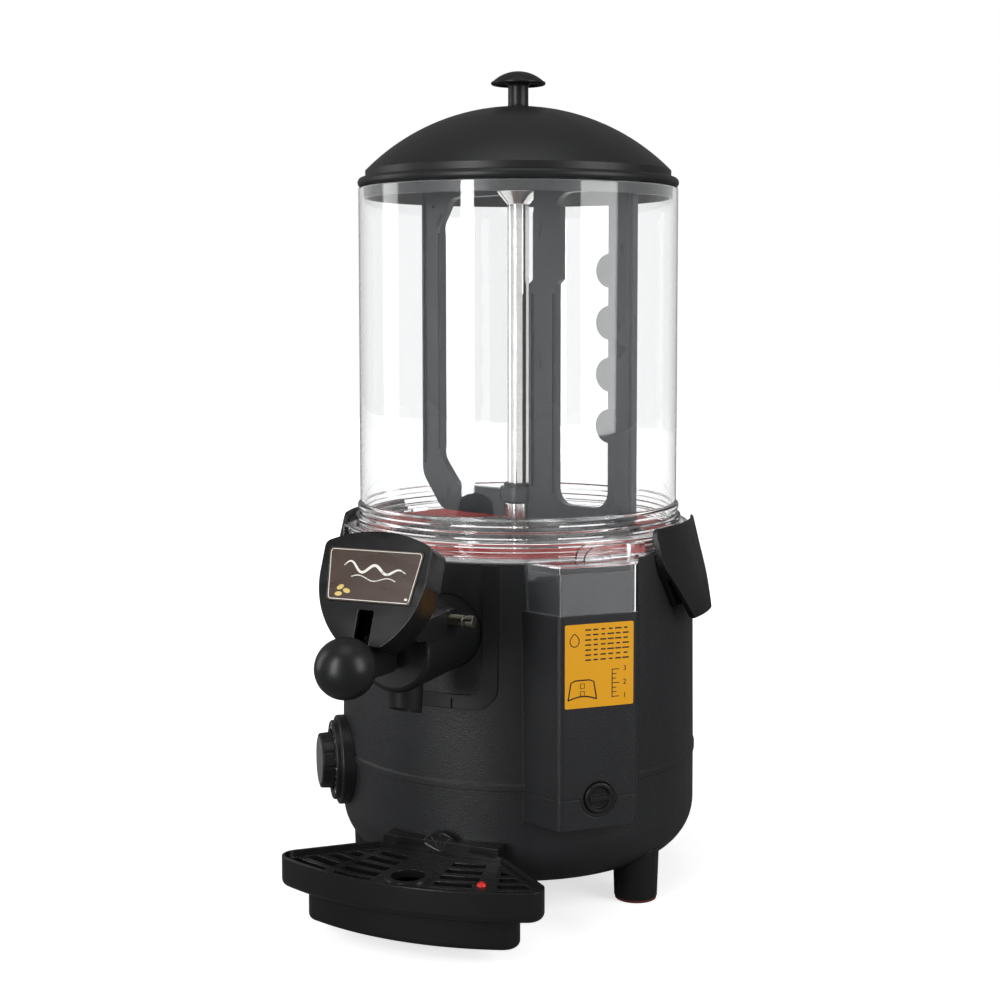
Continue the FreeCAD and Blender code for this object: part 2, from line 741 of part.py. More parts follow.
# Paddle outline in its own flat: u from the axis, z up
def paddle_frame():
    def flat(corners, half=paddle_wall / 2):
        wire = outline(corners, lambda u, z: point(u, -half, z))
        return face_of(wire).extrude(back * (2 * half))
    body = flat([(-paddle_left, paddle_top_z, 10), (paddle_right, paddle_top_z, 10),
                 (paddle_right, paddle_bottom_z, 9), (-paddle_left + 20, paddle_bottom_z, 12),
                 (-paddle_left, paddle_bottom_z + 26, 18)])
    left_window = flat([(-paddle_left_inner, paddle_window_top_z - 20, 10),
                        (-paddle_left_inner + 12, paddle_window_top_z, 9),
                        (paddle_post_inner - paddle_post_step, paddle_window_top_z, 3),
                        (paddle_post_inner - paddle_post_step, paddle_left_window_z, 3),
                        (-paddle_left_inner + 16, paddle_left_window_z, 10),
                        (-paddle_left_inner, paddle_left_window_z + 20, 12)], paddle_wall)
    shelf = flat([(paddle_post_inner - paddle_post_step - 1, paddle_window_top_z),
                  (paddle_post_inner, paddle_window_top_z), (paddle_post_inner, paddle_post_step_z, 1),
                  (paddle_post_inner - paddle_post_step - 1, paddle_post_step_z - 4)], paddle_wall)
    right_window = flat([(paddle_post_outer, paddle_window_top_z, 12),
                         (paddle_right_inner, paddle_window_top_z, 12),
                         (paddle_right_inner, paddle_bar_z, 12), (paddle_post_outer, paddle_bar_z, 12)],
                        paddle_wall)
    wall_step = flat([(paddle_post_outer - 1, paddle_window_top_z), (paddle_post_outer + paddle_post_step,
                      paddle_window_top_z, 2), (paddle_post_outer + paddle_post_step, paddle_post_step_z, 1),
                      (paddle_post_outer - 1, paddle_post_step_z - 4)])
    body = body.cut(left_window).cut(shelf).cut(right_window)
    pieces = [body, wall_step.common(flat([(0, paddle_window_top_z - 10), (paddle_right, paddle_window_top_z - 10),
                                           (paddle_right, paddle_bar_z), (0, paddle_bar_z)]))]
    for i in range(scallop_count):
        z = scallop_first_z + i * scallop_pitch
        bump_r = scallop_pitch * 0.33
        middle = point(paddle_right_inner - scallop_reach + bump_r, 0, z)
        bump = Part.makeCylinder(bump_r, paddle_wall, middle + back * (paddle_wall / 2), front)
        keep = flat([(paddle_post_outer, z - 30), (paddle_right_inner + 1, z - 30),
                     (paddle_right_inner + 1, z + 30), (paddle_post_outer, z + 30)])
        pieces.append(bump.common(keep))
    rib_half = paddle_wall / 2 + paddle_rib_height
    rib_places = ((paddle_right - paddle_rib - 1.5, paddle_bottom_z + 14, paddle_top_z - 14),
                  (-paddle_left + 1.5, paddle_bottom_z + 34, paddle_top_z - 14),
                  (-paddle_left_inner - paddle_rib - 1, paddle_left_window_z + 26, paddle_window_top_z - 26),
                  (paddle_post_inner - paddle_post_step + 2, paddle_left_window_z + 4, paddle_post_step_z - 10),
                  (paddle_post_outer - paddle_rib - 2, paddle_bar_z + 8, paddle_post_step_z - 10))
    for u, z_low, z_high in rib_places:
        pieces.append(flat([(u, z_low), (u + paddle_rib, z_low), (u + paddle_rib, z_high), (u, z_high)],
                           rib_half))
    frame = joined(pieces)
    eye = Part.makeCylinder(1.5, 20, point(-paddle_left + 12, 10, paddle_window_top_z - 6), front)
    frame = frame.cut(eye)
    inner_r = tube_r + free_gap + hub_bush_wall
    tube_way = Part.makeCylinder(sleeve_r + 1.5, hub_bottom_z - paddle_bottom_z + 1,
                                 point(0, 0, paddle_bottom_z - 1))
    hub = Part.makeCylinder(hub_r, hub_top_z - hub_bottom_z, point(0, 0, hub_bottom_z))
    top_hub = Part.makeCylinder(top_hub_r, paddle_top_z - top_hub_z, point(0, 0, top_hub_z))
    cone_way = Part.makeCylinder(tube_cone_r + 1.5, top_hub_z - tube_cone_z + 6, point(0, 0, tube_cone_z - 6))
    frame = joined([frame.cut(tube_way).cut(cone_way), hub, top_hub])
    frame = frame.cut(Part.makeCylinder(inner_r, 40, point(0, 0, hub_bottom_z - 1)))
    half = shaft_square / 2 * 0.8
    socket = block(-half, half, -half, half, top_hub_z - 1, shaft_top_z)
    return swung(frame.cut(socket), paddle_angle - 90)


def paddle_bush():
    inner = tube_r + running_fit
    outer = tube_r + free_gap + hub_bush_wall
    return turned([(inner, sleeve_top_z + rest_gap), (outer, sleeve_top_z + rest_gap),
                   (outer, hub_top_z + 3, 1), (inner, hub_top_z + 3)])


# Lid with its rolled rim, and the mushroom knob on it
def lid():
    centre_z = lid_apex_z - lid_dome_r
    inner_dome_r = lid_dome_r - lid_wall

    def dome_z(r, radius):
        return centre_z + math.sqrt(radius ** 2 - r ** 2)
    skirt_inner = lid_skirt_r - lid_wall
    rim_top = lid_bead_z + lid_bead_height
    base_z_outer = dome_z(lid_dome_base_r, lid_dome_r)
    inner_r = skirt_inner - 1
    top_outer = point(0, 0, lid_apex_z)
    top_inner = point(0, 0, lid_apex_z - lid_wall)
    mid_outer = point(lid_dome_base_r / 2, 0, dome_z(lid_dome_base_r / 2, lid_dome_r))
    mid_inner = point(inner_r / 2, 0, dome_z(inner_r / 2, inner_dome_r))
    dome_end = point(lid_dome_base_r, 0, base_z_outer)
    inner_end = point(inner_r, 0, dome_z(inner_r, inner_dome_r))
    bead_in = point(lid_dome_base_r + 0.8, 0, rim_top - 0.6)
    bead_top = point(lid_r - 2.2, 0, rim_top)
    bead_mid = point(lid_r, 0, lid_bead_z + lid_bead_height * 0.62)
    bead_low = point(lid_r - 1.4, 0, lid_bead_z)
    edges = [Part.Arc(top_outer, mid_outer, dome_end).toShape()]
    path = [dome_end, point(lid_dome_base_r, 0, rim_top - 1.8), bead_in, bead_top]
    for start, end in zip(path, path[1:]):
        edges.append(Part.LineSegment(start, end).toShape())
    edges.append(Part.Arc(bead_top, bead_mid, bead_low).toShape())
    path = [bead_low, point(lid_skirt_r, 0, lid_bead_z), point(lid_skirt_r, 0, lid_skirt_z),
            point(skirt_inner, 0, lid_skirt_z), point(skirt_inner, 0, rim_top - 2), inner_end]
    for start, end in zip(path, path[1:]):
        edges.append(Part.LineSegment(start, end).toShape())
    edges.append(Part.Arc(inner_end, mid_inner, top_inner).toShape())
    edges.append(Part.LineSegment(top_inner, top_outer).toShape())
    shell = face_of(Part.Wire(edges)).revolve(point(0, 0, 0), up, 360)
    return shell.cut(Part.makeCylinder(knob_screw_r + 0.2, 20, point(0, 0, lid_apex_z - 10)))


def lid_knob():
    foot_z = lid_apex_z - 0.5
    stem_top = knob_brim_z - 1
    brim_in = point(knob_r - 1.2, 0, knob_brim_z - 1.2)
    brim_out = point(knob_r - 0.6, 0, knob_brim_z + 1.2)
    dome_height = knob_top_z - brim_out.z
    dome_r = (brim_out.x ** 2 + dome_height ** 2) / (2 * dome_height)
    half_way = brim_out.x / 2
    dome_mid = point(half_way, 0, knob_top_z - dome_r + math.sqrt(dome_r ** 2 - half_way ** 2))
    dish = point((knob_stem_r + knob_r) / 2, 0, knob_brim_z + knob_dish * 0.25)
    edges = [Part.LineSegment(point(0, 0, foot_z), point(knob_stem_r, 0, foot_z)).toShape(),
             Part.LineSegment(point(knob_stem_r, 0, foot_z), point(knob_stem_r, 0, stem_top)).toShape(),
             Part.Arc(point(knob_stem_r, 0, stem_top), dish, brim_in).toShape(),
             Part.Arc(brim_in, point(knob_r, 0, knob_brim_z), brim_out).toShape(),
             Part.Arc(brim_out, dome_mid, point(0, 0, knob_top_z)).toShape(),
             Part.LineSegment(point(0, 0, knob_top_z), point(0, 0, foot_z)).toShape()]
    knob = face_of(Part.Wire(edges)).revolve(point(0, 0, 0), up, 360)
    seat = turned([(0, foot_z - 2), (knob_stem_r + 2, foot_z - 2), (knob_stem_r + 2, foot_z + 0.5),
                   (0, foot_z + 0.5)]).common(Part.makeSphere(lid_dome_r, point(0, 0, lid_apex_z - lid_dome_r)))
    knob = knob.cut(seat)
    return knob.cut(Part.makeCylinder(knob_screw_r + running_fit, knob_screw_length, point(0, 0, foot_z - 2)))


def lid_knob_screw():
    head_top = lid_apex_z - lid_wall - 0.2
    shank = Part.makeCylinder(knob_screw_r, knob_screw_length - 2, point(0, 0, head_top - 1))
    head = Part.makeCylinder(2 * knob_screw_r, knob_screw_r, point(0, 0, head_top - knob_screw_r))
    return joined([head, shank])


def handle_seat_r():
    return body_radius(handle_plate_z) + rest_gap


# Carry handles: a back plate, a bridge and a flap that hangs outside it
def handle(side):
    plate_r = handle_seat_r()
    plate_out = plate_r + handle_plate_wall
    flap_in = handle_reach - handle_flap_wall
    inside = bowl_flange_r - 15
    section = [(inside, handle_plate_z), (plate_out, handle_plate_z, 1),
               (plate_out, handle_top_z - 18, 3), (flap_in, handle_top_z - 18, 3),
               (flap_in, handle_tip_z, 1.8), (handle_reach, handle_tip_z, 1.8),
               (handle_reach, handle_top_z - 8, 6), (plate_out + 1, handle_top_z, 6),
               (inside, handle_top_z)]
    hook = side_plate(section, handle_half_width)
    shield = front_plate([(-handle_half_width, handle_top_z + 5), (handle_half_width, handle_top_z + 5),
                          (handle_half_width, handle_side_z, 20), (handle_tip_half, handle_tip_z - 1, 12),
                          (-handle_tip_half, handle_tip_z - 1, 12), (-handle_half_width, handle_side_z, 20)],
                         box_back, handle_reach + handle_depth)
    wide = Part.makeCylinder(handle_reach + 1.2, 100, point(0, 0, handle_tip_z - 5))
    body = hook.common(shield).common(wide)
    ledge_z = handle_top_z - 5
    body_clear = Part.makeCylinder(plate_r, ledge_z - 100, point(0, 0, 100))
    rim_clear = Part.makeCylinder(bowl_flange_r + 1, 80, point(0, 0, 200))
    body = body.cut(body_clear).cut(rim_clear)
    for t in (-handle_screw_t, handle_screw_t):
        body = body.cut(rod(1.6, point(t, -110, handle_screw_z), point(t, -135, handle_screw_z)))
    return swung(body, 90 * side)


def handle_screws():
    screws = []
    for side in (-1, 1):
        for t in (-handle_screw_t, handle_screw_t):
            reach = math.sqrt(handle_seat_r() ** 2 - t ** 2)
            face = handle_seat_r() + handle_plate_wall
            head = rod(handle_screw_r, point(t, -face, handle_screw_z), point(t, -face - 1.6, handle_screw_z))
            shank = rod(1.5, point(t, -reach, handle_screw_z), point(t, -face - 1, handle_screw_z))
            screws.append(swung(joined([head, shank]), 90 * side))
    return Part.makeCompound(screws)


# Clear cover of the filler box, with two finger tabs
def filler_cover():
    clear_r = seam_r + slide_gap
    z_low = box_top_z + rest_gap
    outer = upright(box_corners(0.3), z_low, cover_top_z)
    inner = upright(box_corners(0.3 + cover_wall), z_low - 1, cover_top_z - cover_wall)
    bowl_side = Part.makeCylinder(clear_r, 60, point(0, 0, z_low - 5))
    cover = outer.cut(inner).cut(bowl_side)
    tabs = []
    for i in (-1, 1):
        reach = (clear_r + box_face) / 2 + i * cover_tab_spacing / 2
        disc = rod(cover_tab_r, point(0, -reach - cover_tab_wall / 2, cover_top_z + 1.5),
                   point(0, -reach + cover_tab_wall / 2, cover_top_z + 1.5))
        under = block(-20, 20, reach - 10, reach + 10, cover_top_z - 20, cover_top_z - cover_wall / 2)
        tabs.append(disc.cut(under))
    return swung(joined([cover] + tabs), box_angle)


def drain_cap():
    low = box_face - drain_recess + rest_gap
    cap = turned_forward([(0, low), (drain_cap_r, low), (drain_cap_r, drain_cap_face - 1, 1),
                          (drain_cap_r - 2.5, drain_cap_face - 1), (drain_cap_r - 3.5, drain_cap_face - 3),
                          (0, drain_cap_face - 3)], drain_z)
    grip = block(-drain_cap_r + 3, drain_cap_r - 3, low + 1, drain_cap_face,
                 drain_z - drain_grip_wall / 2, drain_z + drain_grip_wall / 2)
    return swung(joined([cap, grip]), box_angle)


# Frame on the body round the tap
def tap_bezel():
    top = body_top_z - 1
    outer = front_plate([(-bezel_half, bezel_bottom_z, bezel_corner_r), (bezel_half, bezel_bottom_z,
                         bezel_corner_r), (bezel_half, top), (-bezel_half, top)], 90, tap_front)
    inner = front_plate([(-bezel_inner_half, bezel_inner_z, bezel_corner_r * 0.7), (bezel_inner_half,
                         bezel_inner_z, bezel_corner_r * 0.7), (bezel_inner_half, top + 1),
                         (-bezel_inner_half, top + 1)], 80, tap_front)
    skin = upper_form(bezel_proud).cut(upper_form(0))
    bezel = outer.cut(inner).common(skin)
    notch = front_plate([(5, bezel_bottom_z - 1), (6, bezel_bottom_z - 1), (6, bezel_inner_z - 3),
                         (5, bezel_inner_z - 3)], seam_r + bezel_proud - 1.5, tap_front)
    return bezel.cut(notch)


def tap_body():
    drum = turned_forward([(0, tap_rear), (tap_r - 0.5, tap_rear, 1), (tap_r, tap_rear + 7.7),
                           (tap_r, tap_front, 4), (0, tap_front)], tap_z)
    top = side_plate([(block_back, tap_z), (tap_front, tap_z), (tap_front, fork_floor_z + 2),
                      (block_front, fork_floor_z + 4, 2), (block_front, block_top_z, 2),
                      (block_back, block_top_z, block_corner_r)], block_half)
    spout = Part.makeCone(spout_r, spout_r + 1.4, valve_seat_z - spout_z, point(0, -valve_y, spout_z))
    wedge = side_plate([(valve_y - spout_r - 2, spout_z - 1), (valve_y + spout_r + 4, spout_z - 1),
                        (valve_y + spout_r + 4, spout_z + spout_slant)], 2 * spout_r)
    body = joined([drum, top, spout.cut(wedge)])
    drum_top = tap_z + tap_r + 1
    flat = block(-tap_r, tap_r, block_back, tap_front + 1, block_top_z, drum_top)
    fork = block(-fork_half, fork_half, block_back + 5, block_front + 5, fork_floor_z, drum_top)
    passage = rod(outlet_bore_r, point(0, -tap_rear + 1, outlet_z), point(0, -valve_y, outlet_z))
    chamber = Part.makeCylinder(valve_chamber_r, 2 * outlet_bore_r, point(0, -valve_y, valve_seat_z))
    bore = Part.makeCylinder(spout_bore_r, 60, point(0, -valve_y, valve_seat_z - 59))
    guide = Part.makeCylinder(stem_r + running_fit, 20, point(0, -valve_y, fork_floor_z - 10))
    pin_hole = rod(pivot_r + running_fit, point(-40, -pivot_y, pivot_z), point(40, -pivot_y, pivot_z))
    for tool in (flat, fork, passage, chamber, bore, guide, pin_hole):
        body = body.cut(tool)
    return body


def tap_seal():
    return turned_forward([(outlet_bore_r, outlet_reach), (tap_spigot_r, outlet_reach),
                           (tap_spigot_r, tap_rear), (outlet_bore_r, tap_rear)], outlet_z)


def valve_piston():
    disc_z = valve_seat_z + rest_gap + valve_seal_wall
    stem = Part.makeCylinder(stem_r, valve_head_z - disc_z, point(0, -valve_y, disc_z))
    disc = Part.makeCylinder(valve_disc_r, valve_disc_wall, point(0, -valve_y, disc_z))
    head = Part.makeCylinder(valve_head_r, valve_head_wall, point(0, -valve_y, valve_head_z))
    pip = Part.makeCylinder(spring_r - 2, 3, point(0, -valve_y, valve_head_z + valve_head_wall))
    return joined([stem, disc, head, pip])


def valve_seal():
    low = valve_seat_z + rest_gap
    ring = turned([(0, low), (valve_disc_r, low), (valve_disc_r, low + valve_seal_wall),
                   (0, low + valve_seal_wall)])
    ring.translate(front * valve_y)
    return ring


# A spring's line: quarter turns, each of two arcs that meet along one tangent
def helix_wire(radius, pitch, turns, z_low):
    quarters = int(turns * 4)
    rise = pitch / (2 * math.pi)

    def station(i):
        turn = i * math.pi / 2
        place = point(radius * math.cos(turn), radius * math.sin(turn), z_low + rise * turn)
        heading = point(-radius * math.sin(turn), radius * math.cos(turn), rise).normalize()
        return place, heading

    def arc(start, corner, end):
        middle = (start + end) * 0.5
        offset = corner - middle
        half_chord = (end - start).Length / 2
        sagitta = half_chord * math.tan(math.atan(offset.Length / half_chord) / 2)
        return Part.Arc(start, middle + offset.normalize() * sagitta, end).toShape()
    edges = []
    for i in range(quarters):
        start, heading = station(i)
        end, next_heading = station(i + 1)
        chord = end - start
        both = heading + next_heading
        a = 2 * (heading.dot(next_heading) - 1)
        b = -2 * chord.dot(both)
        c = chord.dot(chord)
        reach = (-b - math.sqrt(b * b - 4 * a * c)) / (2 * a)
        corner = start + heading * reach
        next_corner = end - next_heading * reach
        meet = (corner + next_corner) * 0.5
        edges.append(arc(start, corner, meet))
        edges.append(arc(meet, next_corner, end))
    return Part.Wire(edges)


def valve_spring():
    low = valve_head_z + valve_head_wall + spring_wire_r + rest_gap
    high = cap_top_z - hood_wall - spring_wire_r - rest_gap
    pitch = (high - low) / spring_turns
    path = helix_wire(spring_r, pitch, spring_turns, low)
    heading = point(0, spring_r, pitch / (2 * math.pi)).normalize()
    section = Part.Wire([Part.makeCircle(spring_wire_r, point(spring_r, 0, low), heading)])
    spring = path.makePipeShell([section], True, False)
    spring.translate(front * valve_y)
    gap = pitch - 2 * spring_wire_r
    print("valve_spring gap between turns %.2f mm" % gap)
    return spring


def spring_cap():
    cap = turned([(0, cap_top_z - hood_wall), (cap_bore_r, cap_top_z - hood_wall), (cap_bore_r, block_top_z),
                  (cap_r, block_top_z), (cap_r, cap_top_z, 3), (0, cap_top_z)])
    cap.translate(front * valve_y)
    way = block(-fork_half, fork_half, valve_y - 2 * cap_r, valve_y + 2 * cap_r,
                block_top_z - 1, block_top_z + 10)
    return cap.cut(way)


# Lever: a round eye on the pin, an arm over the valve stem and a deep web out to the ball
def tap_lever():
    eye_r = lever_top_z - pivot_z
    low = pivot_z - eye_r
    arm_front = tap_front + 5
    arm = side_plate([(pivot_y, low), (arm_front, low), (arm_front, lever_top_z, 2), (pivot_y, lever_top_z)],
                     lever_arm_half)
    eye = rod(eye_r, point(-lever_arm_half, -pivot_y, pivot_z), point(lever_arm_half, -pivot_y, pivot_z))
    ball_back = ball_y - ball_r
    web = side_plate([(tap_front + 1.2, low), (tap_front + 2.5, ball_z - 13, 4), (ball_back - 4, ball_z - 11, 6),
                      (ball_back + 4, ball_z - 5), (ball_back + 4, ball_z + 5), (ball_back - 6, ball_z + 8, 6),
                      (arm_front, lever_top_z - 3, 8), (arm_front - 8, lever_top_z - 1)], lever_web)
    neck = rod(lever_web, point(0, -ball_back + 4, ball_z), point(0, -ball_y, ball_z))
    collar = rod(ball_collar_r, point(0, -ball_back - 1, ball_z), point(0, -ball_y, ball_z))
    stud = rod(ball_stud_r, point(0, -ball_back + 2, ball_z), point(0, -ball_y + 4, ball_z))
    lever = joined([arm, eye, web, neck, collar]).cut(Part.makeSphere(ball_r, point(0, -ball_y, ball_z)))
    lever = joined([lever, stud])
    pin_hole = rod(pivot_r + running_fit, point(-20, -pivot_y, pivot_z), point(20, -pivot_y, pivot_z))
    stem_way = block(-stem_r - 0.9, stem_r + 0.9, valve_y - 6.2, valve_y + 6.2, low - 1, lever_top_z + 1)
    return lever.cut(pin_hole).cut(stem_way)


def ball_knob():
    ball = Part.makeSphere(ball_r, point(0, -ball_y, ball_z))
    return ball.cut(rod(ball_stud_r, point(0, -ball_y + 4, ball_z), point(0, -ball_y + ball_r + 1, ball_z)))


def pivot_pin():
    pin = rod(pivot_r, point(-block_half + 1, -pivot_y, pivot_z), point(pivot_reach, -pivot_y, pivot_z))
    groove_x = pivot_reach - 7
    groove = rod(pivot_r + 1, point(groove_x, -pivot_y, pivot_z), point(groove_x + 2, -pivot_y, pivot_z))
    core = rod(pivot_r - pivot_groove, point(groove_x, -pivot_y, pivot_z),
               point(groove_x + 2, -pivot_y, pivot_z))
    return pin.cut(groove.cut(core))


# The hood's own plane: x across, s down its slanting face, depth back from the face
def hood_place(x, s, depth=0.0):
    tilt = math.radians(hood_tilt)
    reach = hood_top_y + s * math.sin(tilt) - depth * math.cos(tilt)
    z = hood_top_z - s * math.cos(tilt) - depth * math.sin(tilt)
    return point(x, -reach, z)


def hood_slab(inset, depth_low, depth_high):
    half = hood_half - inset
    low = hood_length - inset
    bottom_half = hood_bottom_half - inset * 0.7

    def place(x, s):
        return hood_place(x, s, depth_low)
    shoulder = place(half, hood_shoulder + inset)
    side = place(half, hood_side)
    other_shoulder = place(-half, hood_shoulder + inset)
    other_side = place(-half, hood_side)
    edges = [Part.Arc(other_shoulder, place(0, inset), shoulder).toShape(),
             Part.LineSegment(shoulder, side).toShape(),
             Part.Arc(side, place(half * 0.83, hood_side + (low - hood_side) * 0.56),
                      place(bottom_half, low)).toShape(),
             Part.LineSegment(place(bottom_half, low), place(-bottom_half, low)).toShape(),
             Part.Arc(place(-bottom_half, low), place(-half * 0.83, hood_side + (low - hood_side) * 0.56),
                      other_side).toShape(),
             Part.LineSegment(other_side, other_shoulder).toShape()]
    flat = face_of(Part.Wire(edges))
    return flat.extrude(hood_place(0, 0, depth_high) - hood_place(0, 0, depth_low))


def hood_window(half_top, half_bottom, s_top, s_bottom, depth_low, depth_high, radius):
    wire = outline([(-half_top, s_top, radius), (half_top, s_top, radius),
                    (half_bottom, s_bottom, radius), (-half_bottom, s_bottom, radius)],
                   lambda x, s: hood_place(x, s, depth_low))
    return face_of(wire).extrude(hood_place(0, 0, depth_high) - hood_place(0, 0, depth_low))


def tap_hood():
    shell = hood_slab(0, 0, hood_depth)
    side_z = hood_place(0, hood_side).z
    shoulders = [edge for edge in shell.Edges
                 if abs(edge.CenterOfMass.x) > hood_half - 0.01 and edge.BoundBox.ZMin > side_z + 1]
    shell = shell.makeFillet(hood_corner_r, shoulders)
    shell = shell.cut(hood_slab(hood_wall, hood_wall, hood_depth - hood_wall))
    legs = []
    for side in (-1, 1):
        inner = side * (fork_half + 2)
        outer = side * (block_half - 2)
        legs.append(block(min(inner, outer), max(inner, outer), block_front - 13, block_front - 1,
                          block_top_z, hood_top_z - 30))
    inside = hood_slab(1, 1, hood_depth + 30)
    legs = [leg.common(inside) for leg in legs]
    slot = hood_window(hood_slot_half, hood_slot_half, hood_slot_top, hood_length + 5, -1, hood_wall + 1, 1)
    plate_seat = hood_window(plate_top_half + 0.2, plate_bottom_half + 0.2, plate_top - 0.2,
                             plate_bottom + 0.2, -1, plate_recess, 2)
    arm_way = block(-fork_half - 0.8, fork_half + 0.8, 150, hood_top_y + 40, 180, block_top_z + 20)
    rear = arm_way.common(hood_slab(-5, hood_wall + 0.5, hood_depth + 5))
    fork_clear = block(-60, 60, 150, block_front + rest_gap, 180, block_top_z)
    hood = joined([shell] + legs)
    for tool in (slot, plate_seat, rear, fork_clear):
        hood = hood.cut(tool)
    return hood


def name_plate():
    return hood_window(plate_top_half, plate_bottom_half, plate_top, plate_bottom,
                       plate_recess - plate_wall, plate_recess, 2)


# Temperature dial: stepped bezel, knob, pale face, shaft and switch
def dial_bezel():
    ring = turned_forward([(0, dial_switch_front), (dial_bezel_r, dial_switch_front), 
                           (dial_bezel_r, dial_bezel_reach, 1.5), (dial_step_r, dial_bezel_reach), (dial_step_r, dial_step_reach, 1.2),
                           (dial_recess_r, dial_step_reach), (dial_recess_r, dial_bezel_reach - 2),
                           (0, dial_bezel_reach - 2)], dial_z)
    bore = rod(dial_shaft_r + free_gap, point(0, -dial_shaft_back, dial_z),
               point(0, -dial_knob_reach, dial_z))
    ring = swung(ring.cut(bore), dial_angle)
    lip = turned([(0, seam_z), (seam_r + seam_lip, seam_z), (seam_r + seam_lip, seam_z + seam_lip_height + 1),
                  (0, seam_z + seam_lip_height + 1)])
    return ring.cut(base_form(0, seam_z)).cut(upper_form(0)).cut(lip)


def dial_knob():
    low = dial_bezel_reach - 2 + rest_gap
    knob = turned_forward([(0, low), (dial_knob_r - 0.6, low), (dial_knob_r, low + 3),
                           (dial_knob_r - 0.8, dial_knob_reach - dial_face_wall, 1),
                           (dial_face_r + 0.8, dial_knob_reach - dial_face_wall, 0.4),
                           (dial_face_r, dial_knob_reach - 2 * dial_face_wall),
                           (0, dial_knob_reach - 2 * dial_face_wall)], dial_z)
    bore = rod(dial_shaft_r, point(0, -100, dial_z), point(0, -dial_knob_reach + 5, dial_z))
    for i in range(12):
        angle = math.radians(i * 30)
        flute_r = 2.2
        reach = dial_knob_r + flute_r - 0.9
        x = reach * math.cos(angle)
        z = dial_z + reach * math.sin(angle)
        knob = knob.cut(rod(flute_r, point(x, -low - 1, z), point(x, -dial_knob_reach, z)))
    return swung(knob.cut(bore), dial_angle)


def dial_face():
    low = dial_knob_reach - 2 * dial_face_wall
    disc = turned_forward([(0, low), (dial_face_r - 0.1, low), (dial_face_r - 0.1, dial_knob_reach - 0.6, 0.5),
                           (0, dial_knob_reach)], dial_z)
    return swung(disc, dial_angle)


def dial_shaft():
    return swung(rod(dial_shaft_r, point(0, -dial_shaft_back, dial_z),
                     point(0, -dial_knob_reach + 5, dial_z)), dial_angle)


def dial_switch():
    half = dial_switch_width / 2
    body = block(-half, half, dial_switch_back, dial_switch_front, dial_z - dial_switch_height / 2,
                 dial_z + dial_switch_height / 2)
    bush_front = spigot_r - shell_wall - rest_gap
    bush = rod(dial_shaft_r + dial_bush_wall, point(0, -dial_switch_front, dial_z), point(0, -bush_front, dial_z))
    bore = rod(dial_shaft_r + running_fit, point(0, -dial_shaft_back + 0.4, dial_z),
               point(0, -dial_step_reach, dial_z))
    return swung(joined([body, bush]).cut(bore), dial_angle)


# Drip tray outline seen from above: an arc in front, straight flanks, a narrow back
def tray_form(inset, step, side_step, z_low, z_high):
    turn = math.radians(tray_edge_angle)
    radius = tray_front_r - inset - step
    corner = point(radius * math.sin(turn) - inset * 0.9 - side_step, 0, z_low)
    corner.y = -math.sqrt(radius ** 2 - corner.x ** 2)
    rear = point(tray_back_half - inset * 0.45 - side_step * 0.4, -tray_back - inset * 0.9, z_low)
    left_corner = point(-corner.x, corner.y, z_low)
    left_rear = point(-rear.x, rear.y, z_low)
    edges = [Part.Arc(left_corner, point(0, -radius, z_low), corner).toShape(),
             Part.LineSegment(corner, rear).toShape(),
             Part.LineSegment(rear, left_rear).toShape(),
             Part.LineSegment(left_rear, left_corner).toShape()]
    form = face_of(Part.Wire(edges)).extrude(up * (z_high - z_low))
    upright_edges = [edge for edge in form.Edges
                     if abs(edge.tangentAt(edge.FirstParameter).z) > 0.99
                     and abs(edge.CenterOfMass.x) > tray_back_half + 10]
    return form.makeFillet(tray_corner_r - inset, upright_edges)


def tray_neck():
    neck = block(-neck_half, neck_half, seam_r - 20, tray_back + 4, neck_z, neck_top_z)
    return neck.cut(Part.makeCylinder(seam_r + slide_gap + 1, 100, point(0, 0, 0)))


def drip_tray():
    skirt = tray_form(0, 0, 0, tray_skirt_z, tray_top_z)
    step = tray_form(0, tray_step, tray_step_side, tray_bottom_z, tray_skirt_z)
    low_edges = [edge for edge in step.Edges if abs(edge.CenterOfMass.z - tray_bottom_z) < 0.01]
    step = step.makeFillet(4.0, low_edges)
    skirt_edges = [edge for edge in skirt.Edges if abs(edge.CenterOfMass.z - tray_skirt_z) < 0.01]
    skirt = skirt.makeFillet(5.0, skirt_edges)
    deep = tray_form(tray_wall, tray_step, tray_step_side, tray_bottom_z + tray_wall, tray_top_z + 1)
    wide = tray_form(tray_wall + grid_ledge, 0, 0, tray_skirt_z + tray_wall, tray_top_z + 1)
    seat = tray_form(tray_wall, 0, 0, grid_bottom_z, neck_top_z + 1)
    tray = joined([skirt, step, tray_neck()]).cut(deep).cut(wide).cut(seat)
    tab_face = tray_back + tray_wall - tab_rib
    disc = rod(tab_r, point(0, -tab_face, tab_base_z), point(0, -tab_face + tab_wall, tab_base_z))
    tab = disc.cut(block(-2 * tab_r, 2 * tab_r, tab_face - 20, tab_face + 20, tab_base_z - 30, tab_base_z))
    pieces = [tray, tab]
    for i in range(1, 6):
        turn = math.radians(i * 30)
        tip = point((tab_r - 2) * math.cos(turn), 0, tab_base_z + (tab_r - 2) * math.sin(turn))
        start = point(0, -tab_face, tab_base_z + 2)
        pieces.append(rod(tab_rib, start, tip + front * tab_face))
    for side in (-1, 1):
        low = side * tray_hook_x - tray_hook_half
        pieces.append(block(low, low + 2 * tray_hook_half, tray_hook_end, tray_back + 1,
                            tray_hook_z, tray_hook_z + tray_hook_wall))
    return joined(pieces)


